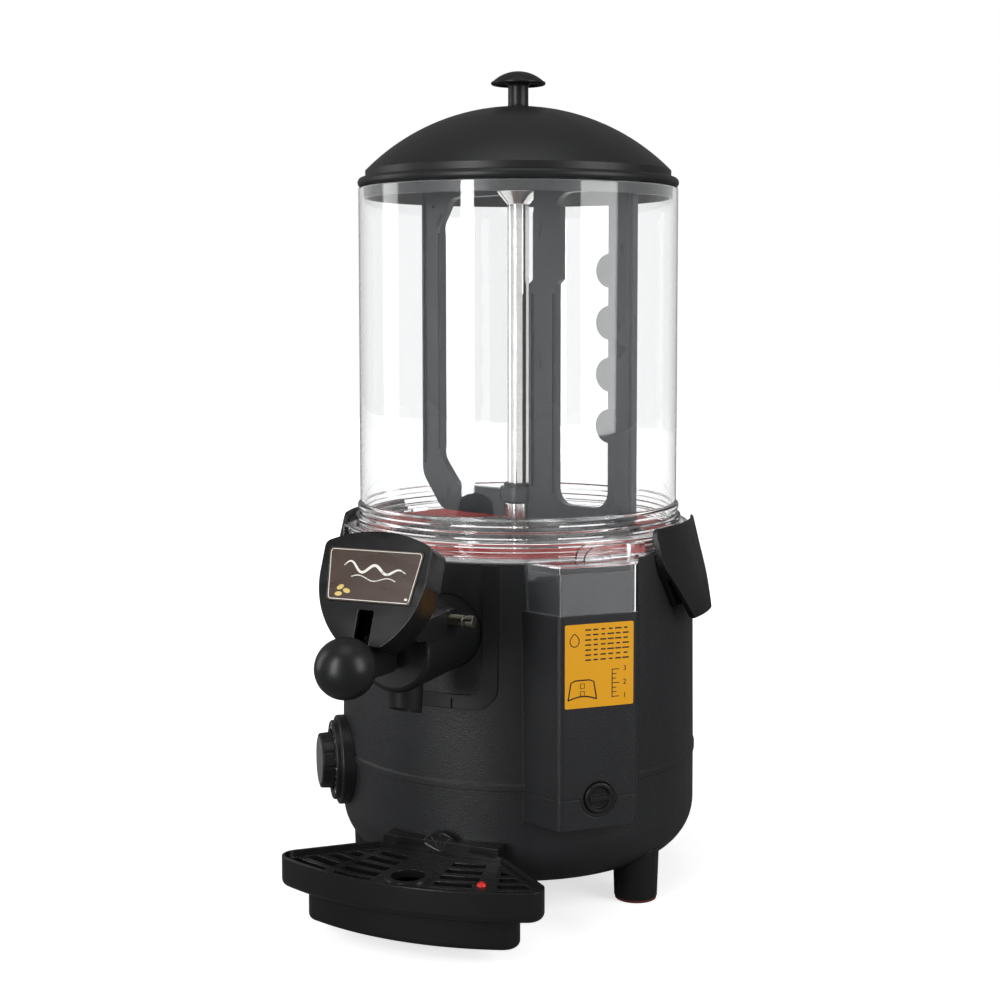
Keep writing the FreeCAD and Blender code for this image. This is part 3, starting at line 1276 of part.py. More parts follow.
# One slot of the grid between two angles, round the machine's axis, with square ends
def grid_slot(radius, angle_low, angle_high):
    low = radius - slot_width / 2
    ring = turned([(low, grid_bottom_z - 1), (low + slot_width, grid_bottom_z - 1),
                   (low + slot_width, grid_top_z + 3), (low, grid_top_z + 3)], angle_high - angle_low)
    ring.rotate(point(0, 0, 0), up, angle_low - 90)
    return ring


def drip_grid():
    grid = tray_form(tray_wall + slide_gap, 0, 0, grid_bottom_z, grid_top_z)
    keep = tray_form(tray_wall + slot_border, 0, 0, grid_bottom_z - 1, grid_top_z + 3)
    float_spot = spot_on_circle(float_circle_r, float_angle, grid_bottom_z - 1)
    island = Part.makeCylinder(float_stem_r + 3, 12, float_spot)
    slots = []
    for row in range(slot_rows):
        radius = slot_first_r - row * slot_pitch
        for low, high in slot_columns:
            slots.append(grid_slot(radius, low, high).common(keep).cut(island))
    ring_spot = point(0, -ring_y, grid_bottom_z)
    grid = grid.cut(Part.makeCompound(slots))
    ring = Part.makeCylinder(ring_r, grid_wall + ring_height, ring_spot)
    grid = joined([grid, ring]).cut(Part.makeCylinder(ring_bore_r, 20, ring_spot - up * 2))
    return grid.cut(Part.makeCylinder(float_stem_r + slide_gap, 20, float_spot))


def float_indicator():
    floor = tray_bottom_z + tray_wall + rest_gap
    spot = spot_on_circle(float_circle_r, float_angle, floor)
    drum = Part.makeCylinder(float_r, float_body_height, spot)
    stem = Part.makeCylinder(float_stem_r, float_top_z - floor - float_stem_r, spot)
    tip = Part.makeSphere(float_stem_r, spot + up * (float_top_z - floor - float_stem_r))
    return joined([drum, stem, tip])


pieces = {
    "base_shell": base_shell,
    "upper_shell": upper_shell,
    "feet": feet,
    "foot_pads": foot_pads,
    "bottom_plate": bottom_plate,
    "bottom_screws": bottom_screws,
    "cable_gland": cable_gland,
    "bowl": bowl,
    "gasket_lower": gasket_lower,
    "gasket_upper": gasket_upper,
    "heating_vessel": heating_vessel,
    "water_jacket": water_jacket,
    "heating_element": heating_element,
    "chassis_plate": chassis_plate,
    "standoffs": standoffs,
    "centre_tube": centre_tube,
    "shaft_bushes": shaft_bushes,
    "drive_shaft": drive_shaft,
    "gear_motor": gear_motor,
    "agitator_frame": paddle_frame,
    "agitator_bush": paddle_bush,
    "lid": lid,
    "lid_knob": lid_knob,
    "lid_knob_screw": lid_knob_screw,
    "right_handle": lambda: handle(1),
    "left_handle": lambda: handle(-1),
    "handle_screws": handle_screws,
    "filler_cover": filler_cover,
    "drain_cap": drain_cap,
    "tap_bezel": tap_bezel,
    "tap_body": tap_body,
    "tap_seal": tap_seal,
    "valve_piston": valve_piston,
    "valve_seal": valve_seal,
    "valve_spring": valve_spring,
    "spring_cap": spring_cap,
    "tap_lever": tap_lever,
    "ball_knob": ball_knob,
    "pivot_pin": pivot_pin,
    "tap_hood": tap_hood,
    "name_plate": name_plate,
    "thermostat_bezel": dial_bezel,
    "thermostat_knob": dial_knob,
    "thermostat_face": dial_face,
    "thermostat_shaft": dial_shaft,
    "thermostat_switch": dial_switch,
    "drip_tray": drip_tray,
    "drip_grid": drip_grid,
    "float_indicator": float_indicator,
}

os.makedirs("parts", exist_ok=True)
for name, make in pieces.items():
    shape = make()
    shape.translate(back * axis_setback)
    shape.exportStep("parts/%s.step" % name)
    print("%-20s solids %2d  volume %10.1f  valid %s" % (name, len(shape.Solids), shape.Volume,
                                                      shape.isValid()))
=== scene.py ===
import bpy
import bmesh
import math
from mathutils import Matrix, Vector


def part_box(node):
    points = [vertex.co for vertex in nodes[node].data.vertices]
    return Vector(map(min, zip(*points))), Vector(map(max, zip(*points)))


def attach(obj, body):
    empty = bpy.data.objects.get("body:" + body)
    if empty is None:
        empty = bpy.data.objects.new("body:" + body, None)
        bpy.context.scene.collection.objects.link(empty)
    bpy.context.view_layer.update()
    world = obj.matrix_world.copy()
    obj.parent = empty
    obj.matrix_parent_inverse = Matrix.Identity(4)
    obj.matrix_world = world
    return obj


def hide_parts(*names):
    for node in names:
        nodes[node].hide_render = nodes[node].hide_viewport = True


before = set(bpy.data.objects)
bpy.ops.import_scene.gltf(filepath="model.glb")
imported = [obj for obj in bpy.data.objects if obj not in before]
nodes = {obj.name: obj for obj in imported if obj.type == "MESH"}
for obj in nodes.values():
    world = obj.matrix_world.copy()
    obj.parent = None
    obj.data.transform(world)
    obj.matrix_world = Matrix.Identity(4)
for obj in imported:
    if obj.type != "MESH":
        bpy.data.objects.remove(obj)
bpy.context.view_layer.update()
mm = 0.001
bowlLow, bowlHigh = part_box("bowl")
axisY = (bowlLow.y + bowlHigh.y) / 2  # the upright axis of bowl and casing
print("frame loaded:", len(nodes), "nodes")


# Small tools
def node(tree, kind, inputs=None, **settings):
    made = tree.nodes.new(kind)
    for key, value in settings.items():
        setattr(made, key, value)
    for key, value in (inputs or {}).items():
        if isinstance(value, bpy.types.NodeSocket):
            tree.links.new(value, made.inputs[key])
        else:
            made.inputs[key].default_value = value
    return made


def maths(tree, operation, *values, **settings):  # one sum of sockets and numbers
    return node(tree, "ShaderNodeMath", dict(enumerate(values)), operation=operation, **settings).outputs[0]


def ranged(tree, value, low, high, toLow, toHigh):  # a value taken from one range to another
    return node(tree, "ShaderNodeMapRange", {0: value, 1: low, 2: high, 3: toLow, 4: toHigh}).outputs[0]


def objectCoords(tree):
    return node(tree, "ShaderNodeTexCoord").outputs["Object"]


def noiseOf(tree, coords, scale, detail, **inputs):
    return node(tree, "ShaderNodeTexNoise",
                {"Vector": coords, "Scale": scale, "Detail": detail, **inputs}).outputs[0]


def newGroup(name, kind, inputs, outputs):  # an input's value says which kind of socket it gets
    kinds = {float: "NodeSocketFloat", int: "NodeSocketInt"}
    tree = bpy.data.node_groups.new(name, kind)
    for label, value in inputs.items():
        socketKind = kinds.get(type(value), value)
        socket = tree.interface.new_socket(label, in_out="INPUT", socket_type=socketKind)
        if socketKind != value:
            socket.default_value = value
    for label, socketKind in outputs.items():
        tree.interface.new_socket(label, in_out="OUTPUT", socket_type=socketKind)
    return tree, tree.nodes.new("NodeGroupInput"), tree.nodes.new("NodeGroupOutput")


def linkPiece(name, mesh, material, body, smoothAngle=35):
    piece = looseObject(name, mesh)
    mesh.shade_smooth()
    mesh.set_sharp_from_angle(angle=math.radians(smoothAngle))
    mesh.materials.clear()
    mesh.materials.append(material)
    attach(piece, body)
    return piece


def meshFrom(bm, name):
    bmesh.ops.remove_doubles(bm, verts=bm.verts, dist=1e-7)
    bmesh.ops.recalc_face_normals(bm, faces=bm.faces)
    mesh = bpy.data.meshes.new(name)
    bm.to_mesh(mesh)
    bm.free()
    return mesh


def roundedLine(corners, steps=5, closed=True):  # corners are (r, z) or (r, z, radius) in millimetres
    line = []
    count = len(corners)
    for i, corner in enumerate(corners):
        here = Vector(corner[:2])
        radius = corner[2] if len(corner) > 2 else 0
        if radius == 0 or (not closed and i in (0, count - 1)):
            line.append(here)
            continue
        toLast = (Vector(corners[i - 1][:2]) - here).normalized()
        toNext = (Vector(corners[(i + 1) % count][:2]) - here).normalized()
        half = toLast.angle(toNext) / 2
        start = here + toLast * radius / math.tan(half)
        centre = here + (toLast + toNext).normalized() * radius / math.sin(half)
        sweep = (start - centre).angle_signed(here + toNext * radius / math.tan(half) - centre)
        for k in range(steps + 1):
            turn = Matrix.Rotation(-sweep * k / steps, 2)
            line.append(centre + turn @ (start - centre))
    return line


def heldLine(line, hold=0.4):  # short end steps keep the shading of long walls true
    held = []
    for i, spot in enumerate(line):
        after = line[(i + 1) % len(line)]
        run = after - spot
        held.append(spot)
        if run.length > 4 * hold:
            held += [spot + run.normalized() * hold, after - run.normalized() * hold]
    return held


def latheMesh(name, line, turns=160, closed=True, place=None):  # line of (r, z) in millimetres
    bm = bmesh.new()
    rings = []
    for spot in line:
        if spot[0] < 1e-4:
            rings.append([bm.verts.new((0, 0, spot[1] * mm))] * turns)
            continue
        ring = []
        for i in range(turns):
            turn = 2 * math.pi * i / turns
            r = spot[0] * mm
            ring.append(bm.verts.new((r * math.cos(turn), r * math.sin(turn), spot[1] * mm)))
        rings.append(ring)
    pairs = list(zip(rings, rings[1:]))
    if closed:
        pairs.append((rings[-1], rings[0]))
    for low, high in pairs:
        for i in range(turns):
            k = (i + 1) % turns
            corners = []
            for vert in (low[i], low[k], high[k], high[i]):
                if vert not in corners:
                    corners.append(vert)
            if len(corners) > 2:
                bm.faces.new(corners)
    mesh = meshFrom(bm, name)
    mesh.transform(place or Matrix.Translation((0, axisY, 0)))
    return mesh


def evaluated(piece):  # the piece with its modifiers, as a plain mesh
    graph = bpy.context.evaluated_depsgraph_get()
    return bpy.data.meshes.new_from_object(piece.evaluated_get(graph), depsgraph=graph)


def looseObject(name, data):
    piece = bpy.data.objects.new(name, data)
    bpy.context.scene.collection.objects.link(piece)
    return piece


def joinedMesh(name, meshes, operation="UNION"):  # one solid from several overlapping ones
    base = looseObject(name, meshes[0])
    others = []
    for i, mesh in enumerate(meshes[1:]):
        other = looseObject("%s_%d" % (name, i), mesh)
        others.append(other)
        cutter = base.modifiers.new("join%d" % i, "BOOLEAN")
        cutter.object = other
        cutter.operation = operation
        cutter.solver = "EXACT"
    result = evaluated(base)
    for piece in [base] + others:
        bpy.data.objects.remove(piece)
    return result


def boxMesh(name, low, high, bevel=0.0):
    bm = bmesh.new()
    bmesh.ops.create_cube(bm, size=1)
    for vert in bm.verts:
        for axis in range(3):
            vert.co[axis] = (low[axis] + high[axis]) / 2 + vert.co[axis] * (high[axis] - low[axis])
    if bevel:
        bmesh.ops.bevel(bm, geom=bm.edges[:], offset=bevel, segments=3, profile=0.5, affect="EDGES")
    return meshFrom(bm, name)


def flatSheet(name, outlines, place, thickness):  # outlines of (u, v) in millimetres, place(u, v, lift)
    bm = bmesh.new()
    for outline in outlines:
        lower = [bm.verts.new(place(u, v, 0)) for u, v in outline]
        upper = [bm.verts.new(place(u, v, thickness)) for u, v in outline]
        count = len(outline)
        bm.faces.new(upper)
        bm.faces.new(lower[::-1])
        for i in range(count):
            k = (i + 1) % count
            bm.faces.new((lower[i], lower[k], upper[k], upper[i]))
    bmesh.ops.triangulate(bm, faces=[f for f in bm.faces if len(f.verts) > 4])
    return meshFrom(bm, name)


def ribbon(middle, widths):  # a flat band along a line, as quads
    bands = []
    edges = []
    for i, spot in enumerate(middle):
        before = Vector(middle[max(i - 1, 0)])
        after = Vector(middle[min(i + 1, len(middle) - 1)])
        along = (after - before).normalized()
        side = Vector((-along.y, along.x)) * widths[i] / 2
        edges.append((Vector(spot) + side, Vector(spot) - side))
    for (a, b), (c, d) in zip(edges, edges[1:]):
        bands.append([tuple(a), tuple(b), tuple(d), tuple(c)])
    return bands


def roundedRect(width, height, radius, steps=5):
    corners = [(-width / 2, -height / 2, radius), (width / 2, -height / 2, radius),
               (width / 2, height / 2, radius), (-width / 2, height / 2, radius)]
    return [tuple(spot) for spot in roundedLine(corners, steps)]


def textMesh(name, words, size, place, thickness):  # plain digits, as a mesh on the plane of place
    curve = bpy.data.curves.new(name, "FONT")
    curve.body = words
    curve.size = size
    curve.align_x = "CENTER"
    curve.align_y = "CENTER"
    curve.resolution_u = 3
    carrier = looseObject(name, curve)
    flat = evaluated(carrier)
    bpy.data.objects.remove(carrier)
    bm = bmesh.new()
    bm.from_mesh(flat)
    bmesh.ops.remove_doubles(bm, verts=bm.verts, dist=1e-4)
    faces = bm.faces[:]
    raised = bmesh.ops.extrude_face_region(bm, geom=faces)
    for vert in bm.verts:
        vert.co.z = 0
    for item in raised["geom"]:
        if isinstance(item, bmesh.types.BMVert):
            item.co.z = thickness
    for vert in bm.verts:
        vert.co = place(vert.co.x, vert.co.y, vert.co.z)
    return meshFrom(bm, name)


def mergedMesh(name, meshes):
    bm = bmesh.new()
    for mesh in meshes:
        bm.from_mesh(mesh)
    merged = bpy.data.meshes.new(name)
    bm.to_mesh(merged)
    bm.free()
    return merged


# Shader groups
def makeGrainGroup():
    tree, start, end = newGroup("mouldedGrain", "ShaderNodeTree",
                                {"Scale": 1200.0, "Unevenness": 0.5},
                                {"Height": "NodeSocketFloat", "Shade": "NodeSocketFloat"})
    coords = objectCoords(tree)
    cells = node(tree, "ShaderNodeTexVoronoi", {"Vector": coords, "Scale": start.outputs["Scale"]},
                 feature="SMOOTH_F1")
    specks = noiseOf(tree, coords, maths(tree, "MULTIPLY", start.outputs["Scale"], 2.1), 3.0)
    height = node(tree, "ShaderNodeMix", {0: start.outputs["Unevenness"], 2: cells.outputs["Distance"],
                                          3: specks})
    tree.links.new(height.outputs[0], end.inputs["Height"])
    tree.links.new(ranged(tree, noiseOf(tree, coords, 14.0, 4.0), 0.3, 0.7, 0.0, 1.0), end.inputs["Shade"])
    return tree


# mask for a lighter colour along edges, in patches: partly rubbed wear, partly a painted highlight on every edge
def makeWearAndEdgeHighlightGroup():
    tree, start, end = newGroup("edgeWearAndHighlight", "ShaderNodeTree",
                                {"Radius": 0.0008, "Reach": 0.35},
                                {"Mask": "NodeSocketFloat"})
    soft = node(tree, "ShaderNodeBevel", {"Radius": start.outputs["Radius"]}, samples=4)
    sharp = node(tree, "ShaderNodeNewGeometry")
    same = node(tree, "ShaderNodeVectorMath", {0: soft.outputs[0], 1: sharp.outputs["Normal"]},
                operation="DOT_PRODUCT").outputs["Value"]
    edge = ranged(tree, maths(tree, "SUBTRACT", 1.0, same), 0.01, 0.2, 0.0, 1.0)
    chance = ranged(tree, noiseOf(tree, objectCoords(tree), 90.0, 5.0), 0.42, 0.68, 0.1, 1.0)
    mask = maths(tree, "MULTIPLY", maths(tree, "MULTIPLY", edge, chance), start.outputs["Reach"])
    tree.links.new(mask, end.inputs["Mask"])
    return tree


def makeDustGroup():
    tree, start, end = newGroup("dustFilm", "ShaderNodeTree",
                                {"Amount": 0.1},
                                {"Mask": "NodeSocketFloat"})
    facing = node(tree, "ShaderNodeSeparateXYZ", {0: node(tree, "ShaderNodeNewGeometry").outputs["Normal"]})
    upward = ranged(tree, facing.outputs["Z"], 0.2, 1.0, 0.15, 1.0)
    patch = ranged(tree, noiseOf(tree, objectCoords(tree), 30.0, 6.0, Roughness=0.7), 0.35, 0.75, 0.0, 1.0)
    mask = maths(tree, "MULTIPLY", maths(tree, "MULTIPLY", upward, patch), start.outputs["Amount"])
    tree.links.new(mask, end.inputs["Mask"])
    return tree


def makeScuffGroup():
    tree, start, end = newGroup("wipeMarks", "ShaderNodeTree",
                                {"Low": 0.3, "High": 0.4},
                                {"Roughness": "NodeSocketFloat", "Height": "NodeSocketFloat"})
    stretched = node(tree, "ShaderNodeMapping", {"Vector": objectCoords(tree), "Rotation": (0.4, 0.2, 0.9),
                                                 "Scale": (1.0, 6.0, 1.4)})
    smear = noiseOf(tree, stretched.outputs[0], 22.0, 6.0, Distortion=0.6)
    rough = ranged(tree, smear, 0.3, 0.7, start.outputs["Low"], start.outputs["High"])
    tree.links.new(rough, end.inputs["Roughness"])
    tree.links.new(smear, end.inputs["Height"])
    return tree


grainGroup = makeGrainGroup()
wearAndEdgeHighlightGroup = makeWearAndEdgeHighlightGroup()
dustGroup = makeDustGroup()
scuffGroup = makeScuffGroup()
print("shader groups made")


# Materials
def newMaterial(name):
    material = bpy.data.materials.new(name)
    material.use_nodes = True
    tree = material.node_tree
    tree.nodes.clear()
    shader = node(tree, "ShaderNodeBsdfPrincipled")
    node(tree, "ShaderNodeOutputMaterial", {"Surface": shader.outputs[0]})
    return material, tree, shader


def groupNode(tree, group, inputs):
    made = tree.nodes.new("ShaderNodeGroup")
    made.node_tree = group
    for key, value in inputs.items():
        made.inputs[key].default_value = value
    return made


def colourMix(tree, share, first, second):
    return node(tree, "ShaderNodeMix", {0: share, 6: first, 7: second}, data_type="RGBA").outputs[2]


def mouldedPlastic(name, look):
    look = {**plainLook, **look}
    material, tree, shader = newMaterial(name)
    grain = groupNode(tree, grainGroup, {"Scale": look["grainScale"], "Unevenness": look["unevenness"]})
    wearAndHighlight = groupNode(tree, wearAndEdgeHighlightGroup, {"Radius": look["edge"], "Reach": look["wearAndHighlight"]})
    dust = groupNode(tree, dustGroup, {"Amount": look["dust"]})
    scuffs = groupNode(tree, scuffGroup, dict(zip(("Low", "High"), look["roughness"])))
    dark = (*look["colour"], 1)
    pale = (*[min(1.0, value * look["variation"]) for value in look["colour"]], 1)
    colour = colourMix(tree, grain.outputs["Shade"], dark, pale)
    # edges painted lighter: partly worn spots, partly a painted edge highlight
    colour = colourMix(tree, wearAndHighlight.outputs["Mask"], colour, (*look["wornAndHighlight"], 1))
    colour = colourMix(tree, dust.outputs["Mask"], colour, (0.35, 0.34, 0.32, 1))
    tree.links.new(colour, shader.inputs["Base Color"])
    rough = maths(tree, "ADD", scuffs.outputs["Roughness"], dust.outputs["Mask"], use_clamp=True)
    tree.links.new(rough, shader.inputs["Roughness"])
    soft = node(tree, "ShaderNodeBevel", {"Radius": look["edge"]}, samples=4)
    bump = node(tree, "ShaderNodeBump", {"Strength": look["grain"], "Distance": look["grainDepth"],
                                         "Height": grain.outputs["Height"], "Normal": soft.outputs[0]})
    tree.links.new(bump.outputs[0], shader.inputs["Normal"])
    shader.inputs["IOR"].default_value = 1.5
    shader.inputs["Specular IOR Level"].default_value = look["specular"]
    return material


def steel(name, look):
    material, tree, shader = newMaterial(name)
    mapping = node(tree, "ShaderNodeMapping", {"Vector": objectCoords(tree), "Scale": look["stretch"]})
    lines = noiseOf(tree, mapping.outputs[0], look["lineScale"], 4.0)
    scuffs = groupNode(tree, scuffGroup, dict(zip(("Low", "High"), look["roughness"])))
    wearAndHighlight = groupNode(tree, wearAndEdgeHighlightGroup, {"Radius": 0.0006, "Reach": 0.5})
    colour = colourMix(tree, lines, (*look["dark"], 1), (*look["light"], 1))
    # edges painted near-white: partly wear, partly a painted edge glint
    colour = colourMix(tree, wearAndHighlight.outputs["Mask"], colour, (0.9, 0.9, 0.9, 1))
    tree.links.new(colour, shader.inputs["Base Color"])
    tree.links.new(scuffs.outputs["Roughness"], shader.inputs["Roughness"])
    shader.inputs["Metallic"].default_value = 1.0
    soft = node(tree, "ShaderNodeBevel", {"Radius": 0.0004}, samples=4)
    bump = node(tree, "ShaderNodeBump", {"Strength": look["bump"], "Distance": 0.0001, "Height": lines,
                                         "Normal": soft.outputs[0]})
    tree.links.new(bump.outputs[0], shader.inputs["Normal"])
    return material


def clearPlastic(name, look):
    material, tree, shader = newMaterial(name)
    scuffs = groupNode(tree, scuffGroup, dict(zip(("Low", "High"), look["roughness"])))
    tint = colourMix(tree, scuffs.outputs["Height"], (*look["colour"], 1), (*look["pale"], 1))
    tree.links.new(tint, shader.inputs["Base Color"])
    tree.links.new(scuffs.outputs["Roughness"], shader.inputs["Roughness"])
    shader.inputs["Transmission Weight"].default_value = 1.0
    shader.inputs["IOR"].default_value = 1.49
    bump = node(tree, "ShaderNodeBump", {"Strength": look["bump"], "Distance": 0.0002,
                                         "Height": scuffs.outputs["Height"]})
    tree.links.new(bump.outputs[0], shader.inputs["Normal"])
    through = node(tree, "ShaderNodeBsdfTransparent", {"Color": (*look["shadow"], 1)})
    rays = node(tree, "ShaderNodeLightPath")
    both = node(tree, "ShaderNodeMixShader", {0: rays.outputs["Is Shadow Ray"], 1: shader.outputs[0],
                                              2: through.outputs[0]})
    tree.links.new(both.outputs[0], tree.nodes["Material Output"].inputs["Surface"])
    return material


# What a moulded look has where it says nothing else
plainLook = {"wornAndHighlight": (0.05, 0.05, 0.05), "grainScale": 1800.0, "grain": 0.03, "grainDepth": 0.0001,
             "edge": 0.0008, "wearAndHighlight": 0.1, "dust": 0.0, "specular": 0.5, "variation": 1.35,
             "unevenness": 0.5}
# the worn colour and wear amount paint edges lighter: partly rubbed wear, partly a painted edge highlight, strongest
# on glossy, paddle and grid
blackLooks = {
    "casing": {"colour": (0.0155, 0.016, 0.0175), "wornAndHighlight": (0.06, 0.06, 0.06), "roughness": (0.34, 0.44),
               "grainScale": 950.0, "grain": 0.65, "grainDepth": 0.0004, "edge": 0.0012, "wearAndHighlight": 0.14,
               "dust": 0.006, "specular": 0.36},
    "lidDome": {"colour": (0.011, 0.0115, 0.0125), "roughness": (0.36, 0.44), "grainScale": 2600.0,
                "grain": 0.12, "wearAndHighlight": 0.08, "dust": 0.006, "specular": 0.4},
    "glossy": {"colour": (0.006, 0.0062, 0.0066), "wornAndHighlight": (0.09, 0.09, 0.09), "roughness": (0.16, 0.28),
               "grain": 0.06, "edge": 0.0009, "wearAndHighlight": 0.3, "dust": 0.006, "specular": 0.42},
    "satin": {"colour": (0.0075, 0.0078, 0.0085), "roughness": (0.32, 0.42), "grainScale": 2200.0,
              "grain": 0.12, "edge": 0.0009, "wearAndHighlight": 0.14, "dust": 0.006, "specular": 0.36},
    "paddle": {"colour": (0.012, 0.0145, 0.0165), "wornAndHighlight": (0.1, 0.1, 0.1), "roughness": (0.26, 0.36),
               "grainScale": 2000.0, "grain": 0.08, "wearAndHighlight": 0.3, "specular": 0.4},
    "grid": {"colour": (0.0075, 0.0078, 0.0085), "wornAndHighlight": (0.12, 0.12, 0.12), "roughness": (0.2, 0.32),
             "grainScale": 1500.0, "grain": 0.18, "grainDepth": 0.0002, "wearAndHighlight": 0.35, "dust": 0.01},
}
otherLooks = {
    "pads": {"colour": (0.1, 0.02, 0.016), "wornAndHighlight": (0.2, 0.1, 0.09), "roughness": (0.7, 0.85),
             "grainScale": 1500.0, "grain": 0.2, "grainDepth": 0.0002, "edge": 0.0006, "wearAndHighlight": 0.2,
             "dust": 0.05},
    "seals": {"colour": (0.2, 0.018, 0.014), "wornAndHighlight": (0.4, 0.06, 0.05), "roughness": (0.4, 0.52),
              "grain": 0.08, "edge": 0.0006, "wearAndHighlight": 0.2},
    "bushes": {"colour": (0.7, 0.69, 0.65), "wornAndHighlight": (0.8, 0.8, 0.78), "roughness": (0.4, 0.5),
               "grainScale": 2500.0, "grain": 0.05, "edge": 0.0005},
    "housing": {"colour": (0.14, 0.145, 0.15), "wornAndHighlight": (0.4, 0.4, 0.4), "roughness": (0.45, 0.6),
                "grainScale": 1300.0, "grain": 0.15, "grainDepth": 0.0002, "wearAndHighlight": 0.4, "dust": 0.1},
    "dialFace": {"colour": (0.1, 0.103, 0.106), "wornAndHighlight": (0.3, 0.3, 0.3), "roughness": (0.35, 0.45),
                 "grainScale": 2500.0, "grain": 0.06, "edge": 0.0006, "dust": 0.01},
    "plaque": {"colour": (0.047, 0.026, 0.018), "wornAndHighlight": (0.12, 0.09, 0.07), "roughness": (0.24, 0.34),
               "grainScale": 2600.0, "edge": 0.0004, "dust": 0.005},
    "cream": {"colour": (0.78, 0.75, 0.68), "wornAndHighlight": (0.8, 0.78, 0.7), "roughness": (0.35, 0.45),
              "grainScale": 2600.0, "edge": 0.0002, "dust": 0.005},
    "gold": {"colour": (0.6, 0.44, 0.13), "wornAndHighlight": (0.8, 0.7, 0.4), "roughness": (0.3, 0.4),
             "grainScale": 2600.0, "edge": 0.0002, "dust": 0.005},
    "sticker": {"colour": (0.8, 0.37, 0.006), "wornAndHighlight": (0.9, 0.6, 0.15), "roughness": (0.3, 0.42),
                "variation": 1.06, "grain": 0.04, "edge": 0.0002, "dust": 0.005},
    "ink": {"colour": (0.012, 0.01, 0.009), "wornAndHighlight": (0.06, 0.05, 0.04), "roughness": (0.4, 0.5),
            "edge": 0.0002},
    "float": {"colour": (0.6, 0.012, 0.01), "wornAndHighlight": (0.7, 0.1, 0.08), "roughness": (0.18, 0.28),
              "grain": 0.04, "edge": 0.0005},
}
steelLooks = {
    "pan": {"dark": (0.42, 0.42, 0.42), "light": (0.6, 0.6, 0.6), "roughness": (0.2, 0.34),
            "stretch": (1.0, 1.0, 30.0), "lineScale": 30.0, "bump": 0.1},
    "tube": {"dark": (0.55, 0.54, 0.53), "light": (0.75, 0.74, 0.72), "roughness": (0.08, 0.2),
             "stretch": (1.0, 1.0, 18.0), "lineScale": 60.0, "bump": 0.08},
    "sheet": {"dark": (0.34, 0.35, 0.36), "light": (0.5, 0.5, 0.5), "roughness": (0.3, 0.45),
              "stretch": (1.0, 25.0, 1.0), "lineScale": 40.0, "bump": 0.15},
    "fixing": {"dark": (0.4, 0.4, 0.38), "light": (0.6, 0.6, 0.57), "roughness": (0.22, 0.35),
               "stretch": (1.0, 1.0, 1.0), "lineScale": 500.0, "bump": 0.1},
    "pin": {"dark": (0.2, 0.19, 0.15), "light": (0.34, 0.32, 0.26), "roughness": (0.25, 0.38),
            "stretch": (6.0, 1.0, 1.0), "lineScale": 300.0, "bump": 0.15},
}
clearLooks = {
    "bowl": {"colour": (0.965, 0.975, 0.98), "pale": (0.99, 0.99, 0.99), "roughness": (0.0, 0.03),
             "bump": 0.02, "shadow": (0.93, 0.94, 0.95)},
    "cover": {"colour": (0.9, 0.91, 0.92), "pale": (0.96, 0.96, 0.96), "roughness": (0.01, 0.06),
              "bump": 0.03, "shadow": (0.8, 0.82, 0.83)},
}
finish = {name + "Black": mouldedPlastic(name + "Black", look) for name, look in blackLooks.items()}
finish.update({name: mouldedPlastic(name, look) for name, look in otherLooks.items()})
finish.update({name + "Steel": steel(name + "Steel", look) for name, look in steelLooks.items()})
finish.update({name + "Clear": clearPlastic(name + "Clear", look) for name, look in clearLooks.items()})
print("materials made:", len(finish))

nodesOfFinish = {
    "casingBlack": ("base_shell", "upper_shell"),
    "satinBlack": ("feet", "cable_gland", "agitator_bush", "lid_knob", "right_handle", "left_handle",
                   "drain_cap", "tap_bezel", "tap_body", "spring_cap", "tap_lever", "ball_knob",
                   "thermostat_bezel", "thermostat_knob"),
    "pads": ("foot_pads",),
    "sheetSteel": ("bottom_plate", "water_jacket", "heating_element", "chassis_plate", "standoffs"),
    "fixingSteel": ("bottom_screws", "lid_knob_screw", "handle_screws", "valve_spring", "thermostat_shaft"),
    "bowlClear": ("bowl",),
    "seals": ("gasket_lower", "gasket_upper", "tap_seal", "valve_seal"),
    "panSteel": ("heating_vessel",),
    "tubeSteel": ("centre_tube", "drive_shaft"),
    "bushes": ("shaft_bushes", "valve_piston"),
    "housing": ("gear_motor", "thermostat_switch"),
    "paddleBlack": ("agitator_frame",),
    "lidDomeBlack": ("lid",),
    "coverClear": ("filler_cover",),
    "pinSteel": ("pivot_pin",),
    "glossyBlack": ("tap_hood", "drip_tray"),
    "plaque": ("name_plate",),
    "dialFace": ("thermostat_face",),
    "gridBlack": ("drip_grid",),
    "float": ("float_indicator",),
}
for key, names in nodesOfFinish.items():
    for name in names:
        nodes[name].data.materials.clear()
        nodes[name].data.materials.append(finish[key])
print("CAD nodes painted")


# Bowl, lid and knob, turned finely so that their outlines are smooth
bowlShape = {"radius": 114.5, "wall": 3.0, "top": 496.0, "flange": 257.0, "flangeRadius": 123.8,
             "foot": 254.6, "deck": 244.3, "ring": 269.0, "turns": 192, "ridges": 3, "ridgePitch": 3.2,
             "ridgeDepth": 1.0, "skirtWall": 2.6, "step": 117.8, "neck": 116.5, "waist": 115.3, "bead": 116.3,
             "lugAngles": (62, -62, 118, -118), "lugHalf": 7.0, "lugFrom": 122.3, "lugTo": 126.8}


